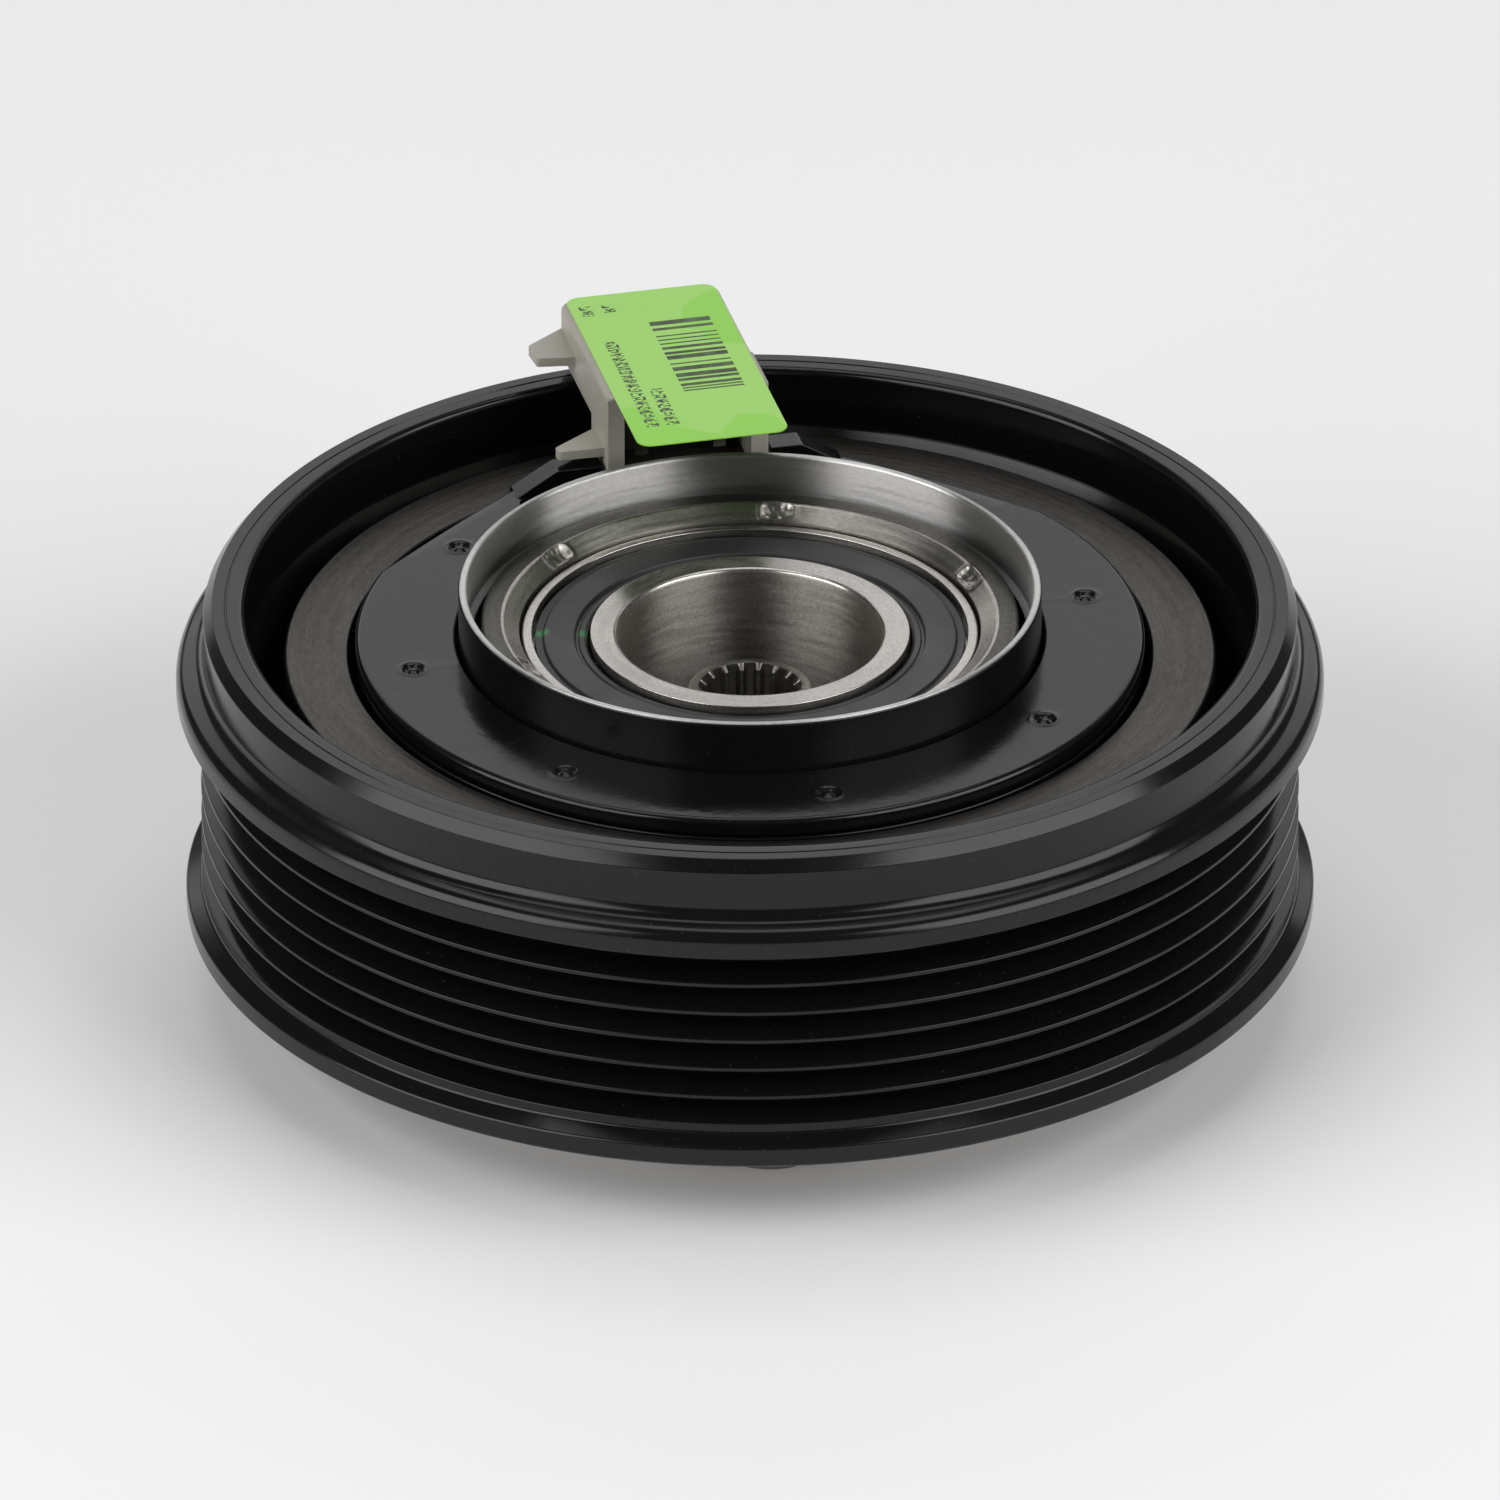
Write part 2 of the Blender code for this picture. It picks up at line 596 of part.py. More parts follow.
def connector_housing():
    """Two-way connector: a socket that opens outwards, a lead recess, and a flange on the plate."""
    half = CONNECTOR_WIDTH / 2
    bottom, top = CONNECTOR_HEIGHTS
    made = block("connector_housing", (-half, 0, bottom), (half, CONNECTOR_LENGTH, top), connector,
                 bevel=0.7)
    foot = block("connector_foot", (-half + 0.05, 0.05, FOOT_BOTTOM),
                 (half - 0.05, FOOT_LENGTH, bottom + 2), connector, helpers)
    combine(made, foot, "UNION")
    combine(made, side_lug("outer_lug", *OUTER_LUG), "UNION")
    combine(made, side_lug("inner_lug", *INNER_LUG), "UNION")
    for side, root in zip((-1, 1), STRAP_ROOTS):
        ends = sorted((side * (half - 1), side * (half + root - STRAP_RAMP - 0.9)))
        flange = block(f"base_flange_{side}", (ends[0], BASE_SPAN[0], FOOT_BOTTOM),
                       (ends[1], BASE_SPAN[1], BASE_TOP), connector, helpers)
        combine(made, flange, "UNION")
    inside = half - CONNECTOR_WALL
    recess = block("lead_recess", (-inside, -1, RECESS_HEIGHTS[0]),
                   (inside, RECESS_END, RECESS_HEIGHTS[1]), connector, helpers)
    combine(made, recess, "DIFFERENCE")
    socket = block("socket", (-inside, SOCKET_START, SOCKET_HEIGHTS[0]),
                   (inside, CONNECTOR_LENGTH + 1, SOCKET_HEIGHTS[1]), connector, helpers)
    combine(made, socket, "DIFFERENCE")
    for side in (-1, 1):
        x = side * TERMINAL_SPACING
        width, height = (size / 2 + GAP for size in TERMINAL_SIZE)
        slot = block(f"terminal_slot_{side}", (x - width, RECESS_END - 1, TERMINAL_HEIGHT - height),
                     (x + width, SOCKET_START + 1, TERMINAL_HEIGHT + height), connector, helpers)
        combine(made, slot, "DIFFERENCE")
    finish(made, (0.38, 0.36, 0.31), 0.45, 0.0)


def connector_terminal(name, side):
    """A blade in the socket, with a leg down to the coil's lead inside the recess."""
    x = side * TERMINAL_SPACING
    width, height = (size / 2 for size in TERMINAL_SIZE)
    start, tip = TERMINAL_SPAN
    made = block(name, (x - width, start, TERMINAL_HEIGHT - height),
                 (x + width, tip, TERMINAL_HEIGHT + height), connector)
    leg = block(name + "_leg", (x - width, start, RECESS_HEIGHTS[0] + 0.8),
                (x + width, start + TERMINAL_SIZE[1], TERMINAL_HEIGHT), connector, helpers)
    combine(made, leg, "UNION")
    finish(made, (0.7, 0.68, 0.6), 0.25, 1.0)


def connector_label():
    """A paper label on the housing, longer than it, so that its inner end stands free."""
    half = LABEL_WIDTH / 2 - LABEL_CORNER
    low, high = LABEL_SPAN[0] + LABEL_CORNER, LABEL_SPAN[1] - LABEL_CORNER
    outline = []
    for i, centre in enumerate(((half, high), (-half, high), (-half, low), (half, low))):
        outline += arc(centre, LABEL_CORNER, 90 * i, 90 * (i + 1), 3)
    bottom = CONNECTOR_HEIGHTS[1] + 0.05
    made = flat("connector_label", [outline], bottom, bottom + LABEL_THICKNESS, connector)
    finish(made, (0.35, 0.65, 0.17), 0.5, 0.0)


def rivet_places():
    """(outer, inner) rivet centres of each leaf spring."""
    places = []
    for i in range(RIVET_COUNT):
        angle = RIVET_FIRST + 360 / RIVET_COUNT * i
        places.append((polar(OUTER_RIVET_CIRCLE, angle),
                       polar(INNER_RIVET_CIRCLE, angle - RIVET_SWEEP)))
    return places


def rivet_bore(name, place):
    """Cutter for one rivet: a countersink on the rear and a straight hole."""
    top = ARMATURE_REAR + 1
    radius, rim_end, cone_end = COUNTERSINK
    profile = [
        (0.0, top), (radius, top), (radius, rim_end), (RIVET_HOLE, cone_end),
        (RIVET_HOLE, ARMATURE_FRONT - 1), (0.0, ARMATURE_FRONT - 1),
    ]
    made = turned(name, profile, SMALL_STEPS, axis, closed=False, collection=helpers)
    made.location = Vector((*place, 0.0)) * MM
    return made


def armature_plate():
    profile = [
        (ARMATURE[1] - 0.4, ARMATURE_REAR), (ARMATURE[1], ARMATURE_REAR - 0.4),
        (ARMATURE[1], ARMATURE_FRONT), (ARMATURE[0], ARMATURE_FRONT), (ARMATURE[0], ARMATURE_REAR),
    ]
    made = turned("armature_plate", profile, RING_STEPS, axis)
    outlines = arc_slots(*ARMATURE_SLOT, SLOT_COUNT, 2.6, SLOT_HALF_ANGLE)
    slots = flat("armature_slots", outlines, ARMATURE_FRONT - 1, ARMATURE_REAR + 1, axis, helpers)
    combine(made, slots, "DIFFERENCE")
    for i, (outer, _) in enumerate(rivet_places()):
        combine(made, rivet_bore(f"armature_hole_{i}", outer), "DIFFERENCE")
    finish(made, (0.3, 0.3, 0.29), 0.35, 1.0)


def splined_hub():
    """Boss with internal splines, and the flange that the leaf springs are riveted to."""
    recess_radius, recess_top = NUT_RECESS
    bore = SPLINE_TIP - 0.8
    profile = [
        (BOSS_RADIUS - 0.35, BOSS_REAR), (BOSS_RADIUS, BOSS_REAR - 0.4),
        *((radius, height) for height, radius in NECK), (HUB_FLANGE, HUB_FLANGE_REAR),
        (HUB_FLANGE, ARMATURE_FRONT), (recess_radius, ARMATURE_FRONT), (recess_radius, recess_top),
        (bore, recess_top), (bore, BOSS_REAR),
    ]
    made = turned("splined_hub", profile, RING_STEPS, axis)
    outline = []
    pitch = 360 / SPLINE_TEETH
    for i in range(SPLINE_TEETH):
        for radius, share in ((SPLINE_TIP, 0.06), (SPLINE_ROOT, 0.32), (SPLINE_ROOT, 0.68),
                              (SPLINE_TIP, 0.94)):
            outline.append(polar(radius, pitch * (i + share)))
    teeth = flat("spline_teeth", [outline], recess_top - 1, BOSS_REAR + 1, axis, helpers)
    combine(made, teeth, "DIFFERENCE")
    for i, (_, inner) in enumerate(rivet_places()):
        combine(made, rivet_bore(f"hub_hole_{i}", inner), "DIFFERENCE")
    finish(made, (0.25, 0.25, 0.24), 0.35, 1.0)


def leaf_spring(name, outer, inner):
    """A strap from an armature rivet to a hub rivet, round at both ends."""
    big, small = SPRING_LUGS
    span = Vector(inner) - Vector(outer)
    along = math.degrees(math.atan2(span.y, span.x))
    lean = math.degrees(math.acos((big - small) / span.length))
    outline = arc(outer, big, along + lean, along + 360 - lean, 8)
    outline += arc(inner, small, along - lean, along + lean, 6)
    low = SPRING_REAR - SPRING_THICKNESS
    made = flat(name, [outline], low, SPRING_REAR, axis)
    holes = flat(name + "_holes", [circle_at(outer, RIVET_HOLE, 12), circle_at(inner, RIVET_HOLE, 12)],
                 low - 1, SPRING_REAR + 1, axis, helpers)
    combine(made, holes, "DIFFERENCE")
    finish(made, (0.2, 0.2, 0.2), 0.4, 1.0)


def rivet(name, place):
    """Countersunk at the armature's rear face, with a flat-topped head in front of the spring."""
    rear = ARMATURE_REAR - 0.35
    head_rear = SPRING_REAR - SPRING_THICKNESS - GAP
    radius, rim_end, cone_end = COUNTERSINK
    profile = [
        (0.0, rear), (radius - 0.4, rear), (radius - 0.4, rim_end + 0.2), (RIVET_SHANK, cone_end),
        (RIVET_SHANK, head_rear), (RIVET_HEAD, head_rear), (RIVET_HEAD, head_rear - 0.9),
        (RIVET_HEAD - 0.7, -REAR_PLANE), (0.0, -REAR_PLANE),
    ]
    made = turned(name, profile, SMALL_STEPS, axis, closed=False)
    made.location = Vector((*place, 0.0)) * MM
    finish(made, (0.2, 0.2, 0.19), 0.4, 1.0)


clear_scene()
parts = collection_named(NAME)
helpers = collection_named("cutters")
axis = empty_at("clutch_axis", (0.0, 0.0, REAR_PLANE))
connector = empty_at("connector_frame", (*CONNECTOR_AT, 0.0), CONNECTOR_TURN, axis)

pulley_rim()
rotor()
bearing_outer_ring()
bearing_inner_ring()
bearing_middle = BEARING_REAR - BEARING_WIDTH / 2
for label, side in (("rear", 1), ("front", -1)):
    row = bearing_middle + side * ROW_OFFSET
    bearing_seal(f"bearing_seal_{label}", bearing_middle + side * SEAL_OFFSET)
    ball_cage(f"ball_cage_{label}", side, row)
    ball_row(label, row)
coil_shell()
coil_windings()
coil_plate()
connector_housing()
connector_terminal("connector_terminal_left", -1)
connector_terminal("connector_terminal_right", 1)
connector_label()
armature_plate()
splined_hub()
for index, (outer_rivet, inner_rivet) in enumerate(rivet_places(), 1):
    leaf_spring(f"leaf_spring_{index}", outer_rivet, inner_rivet)
    rivet(f"armature_rivet_{index}", outer_rivet)
    rivet(f"hub_rivet_{index}", inner_rivet)
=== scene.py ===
"""Visual model of an electromagnetic clutch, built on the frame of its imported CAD.

Lengths are in millimetres and become metres when a mesh is made. Heights are measured from the
rear end face of the pulley rim, and profiles are (radius, height, fillet) corners that run down
their outer side and back up their inner side.
"""

import math

import bmesh
import bpy
from mathutils import Matrix, Vector, noise


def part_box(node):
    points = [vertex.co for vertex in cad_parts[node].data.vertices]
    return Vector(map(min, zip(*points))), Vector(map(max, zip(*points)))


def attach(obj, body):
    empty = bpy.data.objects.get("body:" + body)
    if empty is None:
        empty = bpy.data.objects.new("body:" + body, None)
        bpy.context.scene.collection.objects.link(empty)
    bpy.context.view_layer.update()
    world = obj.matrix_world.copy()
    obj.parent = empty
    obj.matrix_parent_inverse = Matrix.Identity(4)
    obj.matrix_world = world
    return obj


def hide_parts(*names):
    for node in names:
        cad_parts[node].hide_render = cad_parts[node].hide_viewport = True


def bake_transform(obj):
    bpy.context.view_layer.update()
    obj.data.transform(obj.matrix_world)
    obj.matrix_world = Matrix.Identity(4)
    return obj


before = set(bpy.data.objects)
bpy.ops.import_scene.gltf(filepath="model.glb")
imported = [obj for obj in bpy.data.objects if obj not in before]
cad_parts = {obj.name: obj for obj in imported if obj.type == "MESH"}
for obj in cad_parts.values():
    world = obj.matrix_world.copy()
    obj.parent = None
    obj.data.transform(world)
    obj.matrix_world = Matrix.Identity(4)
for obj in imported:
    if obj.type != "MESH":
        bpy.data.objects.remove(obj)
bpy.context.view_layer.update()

MM = 0.001
REAR_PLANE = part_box("pulley_rim")[1].z
RING_STEPS = 360
FINE_STEPS = 720
PLATE_STEPS = 1080
SMALL_STEPS = 48
FILLET_TURN = math.radians(16)
SMOOTH_ANGLE = math.radians(38)

# Belt pulley
FLANGE = 65.0
FRONT_FLANGE = 64.1
CREST = 62.3
RIM_LAND = 60.85
RIM_WALL = 61.9
RIM_BORE = 57.2
RIM_INNER = 55.2
BORE_STEP = (-7.0, -10.05)
RIM_FRONT = -37.5
WEB_BORE = 53.0
WEB_REAR = -33.4
FIRST_GROOVE = -13.52
GROOVE_PITCH = 3.56
GROOVE_COUNT = 6
GROOVE_DEPTH = 3.3
GROOVE_HALF_TOP = 1.555
GROOVE_HALF_ROOT = 0.355

# Rotor
POLE = (45.5, 52.7)         # inner and outer radius
POLE_REAR = -6.0
ROTOR_HUB = 30.4
ROTOR_OPENING = 24.3
BEARING_SEAT = 26.15
SEAT_FRONT = -26.0
FRICTION_FACE = -39.4
DISC_REAR = -34.9
HUB_REAR = -2.0
STAKE_COUNT = 6
STAKE_FIRST = 83.5
STAKE_RADIUS = 27.15
STAKE_HALF = (1.75, 0.85)   # half its size along and across the ring
STAKE_DEPTH = 0.32
SLOT_ROWS = ((33.2, 35.4, 0), (42.2, 44.4, 30))     # inner and outer radius, first angle
SLOT_HALF_ANGLE = 22
SLOT_PITCH = 60

# Bearing
BEARING_REAR = -3.7
BEARING_WIDTH = 22.0
BEARING_MIDDLE = BEARING_REAR - BEARING_WIDTH / 2
OUTER_RING = (24.7, 25.85)      # seal seat and outside
INNER_RING = (15.0, 18.1)       # bore and shoulder
OUTER_SHOULDER = 22.9
SEAL_SEAT = 2.25
BALL_RADIUS = 3.37
BALL_PITCH_RADIUS = 20.5
BALL_COUNT = 12
ROW_OFFSET = 4.0
SEAL_OFFSET = 9.75
INK_MARKS = ((-23.6, 0.9, 1.1), (-18.9, 0.9, 1.0))      # place and reach

# Coil
COLLAR = (32.05, 33.0)
COLLAR_TOP = 2.0
SHELL_REAR = -6.2
SHELL_FRONT = -32.5
SHELL_WALLS = ((31.4, 33.2), (42.9, 44.6))      # inner and outer wall
BOBBIN_FLANGES = ((-8.3, -9.3), (-29.6, -30.6))
BOBBIN_RADII = (33.6, 34.6, 42.3)       # bore, core and flanges
WINDING_RADII = (34.95, 41.6)
WINDING_HEIGHTS = (-9.75, -29.15)
WINDING_LAYERS = 30
PLATE_REAR = -3.9
PLATE_THICKNESS = 2.0
PLATE_EDGE = 44.7
PLATE_FLAT = 42.8
PLATE_FLAT_ANGLE = 42.5
PLATE_BORE = 33.3
PLATE_EVEN = 41.2           # the plate is round within this radius
DIMPLE_COUNT = 8
DIMPLE_FIRST = 13.0
DIMPLE_CIRCLE = 39.0
DIMPLE_BAND = (37.2, 40.8)

# Connector
CONNECTOR_AT = (-7.1, 36.8)
CONNECTOR_TURN = 13.5
HALF_WIDTH = 9.35
CONNECTOR_LENGTH = 24.6
CONNECTOR_HEIGHTS = (1.0, 8.2)
CONNECTOR_WALL = 1.9
HOUSING_CORNER = 1.2
LUG_THICKNESS = 1.1
LUGS = (((16.2, 24.3), (17.0, 20.3), 4.7, 5.0),     # root span, tip span, reach and top
        ((1.3, 7.1), (1.5, 2.6), 5.7, 0.9))
RECESS_DEPTH = 7.0
RECESS_HEIGHTS = (-2.6, 6.6)
SOCKET_START = 10.0
SOCKET_HEIGHTS = (2.1, 7.0)
FOOT_LENGTH = 8.0
FOOT_BOTTOM = -3.6
STRAP_ROOTS = (10.6, 9.0)
STRAP_RAMP = 4.8
STRAP_HEIGHTS = (-2.6, -1.0)
STRAP_HALF_WIDTH = 1.6
STRAP_MIDDLE = 2.0
BLADE_OFFSET = 4.6
BLADE_HALF = 0.75
BLADE_SPAN = (3.6, 19.0)
BLADE_HEIGHTS = (4.1, 4.9)
LABEL_SPAN = (-13.3, 24.4)
LABEL_WIDTH = 17.6

# Armature and hub
ARMATURE_REAR = -39.95
ARMATURE_FRONT = -43.9
ARMATURE_RADII = (26.3, 50.0)
ARMATURE_SLOTS = 6
ARMATURE_SLOT_FIRST = 2.6
ARMATURE_SLOT_CIRCLE = 38.0
ARMATURE_SLOT_HALF = 1.1
ARMATURE_SLOT_REACH = 20.4   # half its sweep, in degrees
RIVET_HOLE = (4.3, 2.9)     # radius of the countersink and of the hole
OUTER_RIVET_CIRCLE = 44.0
INNER_RIVET_CIRCLE = 19.0
RIVET_FIRST = -87.4
RIVET_SWEEP = 75.0
RIVET_COUNT = 3
SPRING_REAR = -44.2
SPRING_THICKNESS = 1.2
SPRING_LUGS = (6.4, 5.0)
SPLINE_TEETH = 18
SPLINE_TIP = 5.2
SPLINE_ROOT = 6.0
BOSS_REAR = -10.9
BOSS_RADIUS = 7.05
HUB_FLANGE = 24.0
HUB_FLANGE_REAR = -40.45
NUT_RECESS = 9.0
NUT_FACE = -38.4

# Camera
CAMERA_LENS = 622.0
CAMERA_DISTANCE = 2.94
CAMERA_ELEVATION = 28.3
AIM_BELOW_REAR = 19.0


# ---------------------------------------------------------------- shapes

def polar(radius, degrees):
    return radius * math.cos(math.radians(degrees)), radius * math.sin(math.radians(degrees))


def arc(centre, radius, start, end, segments):
    points = []
    for i in range(segments + 1):
        x, y = polar(radius, start + (end - start) * i / segments)
        points.append((centre[0] + x, centre[1] + y))
    return points


def rounded(corners, closed=True):
    """The outline with an arc at each corner that has a fillet radius."""
    points = []
    count = len(corners)
    for i, corner in enumerate(corners):
        here = Vector(corner[:2])
        fillet = corner[2] if len(corner) > 2 else 0.0
        if fillet == 0.0 or (not closed and i in (0, count - 1)):
            points.append(tuple(here))
            continue
        back = Vector(corners[i - 1][:2]) - here
        ahead = Vector(corners[(i + 1) % count][:2]) - here
        half = back.angle(ahead) / 2
        if half > math.radians(88):
            points.append(tuple(here))
            continue
        reach = min(fillet / math.tan(half), 0.46 * min(back.length, ahead.length))
        radius = reach * math.tan(half)
        centre = here + (back.normalized() + ahead.normalized()).normalized() * radius / math.sin(half)
        start = here + back.normalized() * reach - centre
        sweep = start.angle_signed(here + ahead.normalized() * reach - centre)
        pieces = max(2, math.ceil(abs(sweep) / FILLET_TURN))
        for k in range(pieces + 1):
            points.append(tuple(centre + Matrix.Rotation(-sweep * k / pieces, 2) @ start))
    return points


def dense(start, end, spacing):
    """Corners evenly spaced from start towards end, with start and without end."""
    start, end = Vector(start), Vector(end)
    count = max(1, math.ceil((end - start).length / spacing))
    return [tuple(start.lerp(end, i / count)) for i in range(count)]


def object_of(name, mesh, materials, turn=0.0, at=(0.0, 0.0)):
    """An object on the rear plane, turned about its own origin at (x, y)."""
    made = bpy.data.objects.new(name, mesh)
    bpy.context.scene.collection.objects.link(made)
    made.matrix_world = (Matrix.Translation((at[0] * MM, at[1] * MM, REAR_PLANE))
                         @ Matrix.Rotation(math.radians(turn), 4, "Z"))
    for material in materials:
        mesh.materials.append(material)
    return made


def mesh_of(name, vertices, faces, kinds=None):
    mesh = bpy.data.meshes.new(name)
    mesh.from_pydata([tuple(c * MM for c in v) for v in vertices], [], faces)
    if kinds:
        mesh.polygons.foreach_set("material_index", kinds)
    return mesh


def smooth(piece, angle=SMOOTH_ANGLE):
    piece.data.shade_smooth()
    piece.data.set_sharp_from_angle(angle=angle)
    weighting = piece.modifiers.new("weighted", "WEIGHTED_NORMAL")
    weighting.keep_sharp = True
    return piece


def bake(piece):
    """Applies the piece's modifiers to its mesh."""
    bpy.context.view_layer.update()
    graph = bpy.context.evaluated_depsgraph_get()
    mesh = bpy.data.meshes.new_from_object(piece.evaluated_get(graph))
    piece.modifiers.clear()
    piece.data = mesh
    return piece


def bevelled(piece, width, segments=3, angle=35):
    change = piece.modifiers.new("rounding", "BEVEL")
    change.width = width * MM
    change.segments = segments
    change.limit_method = "ANGLE"
    change.angle_limit = math.radians(angle)
    change.use_clamp_overlap = True
    return bake(piece)


def combine(piece, other, operation):
    """Cuts the other piece from this one, or joins it on, and removes the other."""
    change = piece.modifiers.new("change", "BOOLEAN")
    change.operation = operation
    change.solver = "EXACT"
    change.object = other
    bake(piece)
    bpy.data.objects.remove(other)
    return piece


def joined(piece, *others):
    """Puts the other pieces' meshes into this piece's mesh."""
    gathered = bmesh.new()
    gathered.from_mesh(piece.data)
    for other in others:
        copy = other.data.copy()
        copy.transform(piece.matrix_world.inverted() @ other.matrix_world)
        gathered.from_mesh(copy)
        bpy.data.objects.remove(other)
        bpy.data.meshes.remove(copy)
    gathered.to_mesh(piece.data)
    gathered.free()
    return piece


def lathe(name, corners, materials, steps=RING_STEPS, zone=None, warp=None, closed=True, slots=()):
    """A solid of revolution. zone gives a material index from (radius, height), and warp moves a
    (radius, height, angle) point. Each slot is (inner, outer, first angle) through the disc."""
    outline = rounded(corners, closed)
    count = len(outline)
    vertices = []
    for i in range(steps):
        angle = math.tau * i / steps
        c, s = math.cos(angle), math.sin(angle)
        for r, z in outline:
            if warp:
                r, z = warp(r, z, angle)
            vertices.append((r * c, r * s, z))
    segments = [(k, (k + 1) % count) for k in range(count if closed else count - 1)]
    kind_of = []
    for k, m in segments:
        middle = ((outline[k][0] + outline[m][0]) / 2, (outline[k][1] + outline[m][1]) / 2)
        kind_of.append(zone(*middle) if zone else 0)
    faces, kinds = [], []

    def index_at(radius, height):
        near = [k for k, (r, z) in enumerate(outline) if abs(r - radius) + abs(z - height) < 1e-3]
        return near[0]

    walls = []
    for inner, outer, first in slots:
        at = [index_at(r, z) for z in (DISC_REAR, FRICTION_FACE) for r in (inner, outer)]
        walls.append((inner, outer, first, at))

    def slot_at(i, first):
        turn = (360 * (i + 0.5) / steps - first + SLOT_PITCH / 2) % SLOT_PITCH - SLOT_PITCH / 2
        return abs(turn) < SLOT_HALF_ANGLE

    for i in range(steps):
        j = (i + 1) % steps
        open_cells = set()
        for inner, outer, first, (a, b, c, d) in walls:
            if not slot_at(i, first):
                continue
            open_cells |= {(a, b), (d, c)}
            for k, m in ((a, c), (d, b)):
                faces.append((i * count + k, i * count + m, j * count + m, j * count + k))
                kinds.append(0)
            if not slot_at(i - 1, first):
                faces.append(tuple(i * count + k for k in (a, b, d, c)))
                kinds.append(0)
            if not slot_at(i + 1, first):
                faces.append(tuple(j * count + k for k in (b, a, c, d)))
                kinds.append(0)
        for (k, m), kind in zip(segments, kind_of):
            if (k, m) not in open_cells:
                faces.append((i * count + k, i * count + m, j * count + m, j * count + k))
                kinds.append(kind)
    mesh = mesh_of(name, vertices, faces, kinds)
    if not closed:
        weld(mesh)
    return object_of(name, mesh, materials)


def weld(mesh):
    """Merges doubled vertices and turns the faces outwards."""
    welded = bmesh.new()
    welded.from_mesh(mesh)
    bmesh.ops.remove_doubles(welded, verts=welded.verts, dist=1e-7)
    bmesh.ops.recalc_face_normals(welded, faces=welded.faces)
    welded.to_mesh(mesh)
    welded.free()


def slab(name, outline, low, high, materials, turn=0.0, at=(0.0, 0.0)):
    """A plate between two heights, from a closed outline of (x, y) points that runs anticlockwise."""
    count = len(outline)
    vertices = [(x, y, low) for x, y in outline] + [(x, y, high) for x, y in outline]
    faces = [tuple(reversed(range(count))), tuple(range(count, 2 * count))]
    for k in range(count):
        m = (k + 1) % count
        faces.append((k, m, count + m, count + k))
    mesh = mesh_of(name, vertices, faces)
    weld(mesh)
    return object_of(name, mesh, materials, turn, at)


def block(name, lows, highs, materials, corner=0.0):
    """A box in the connector's own frame, with its upright edges rounded if asked."""
    (x0, y0, z0), (x1, y1, z1) = lows, highs
    outline = rounded([(x0, y0, corner), (x1, y0, corner), (x1, y1, corner), (x0, y1, corner)])
    return slab(name, outline, z0, z1, materials, CONNECTOR_TURN, CONNECTOR_AT)


def show(piece, body, slot, *nodes):
    """Puts the piece on a body and hides the CAD nodes it stands for. The slot is not used."""
    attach(piece, body)
    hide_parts(*nodes)
    return piece


# ------------------------------------------------------------- materials

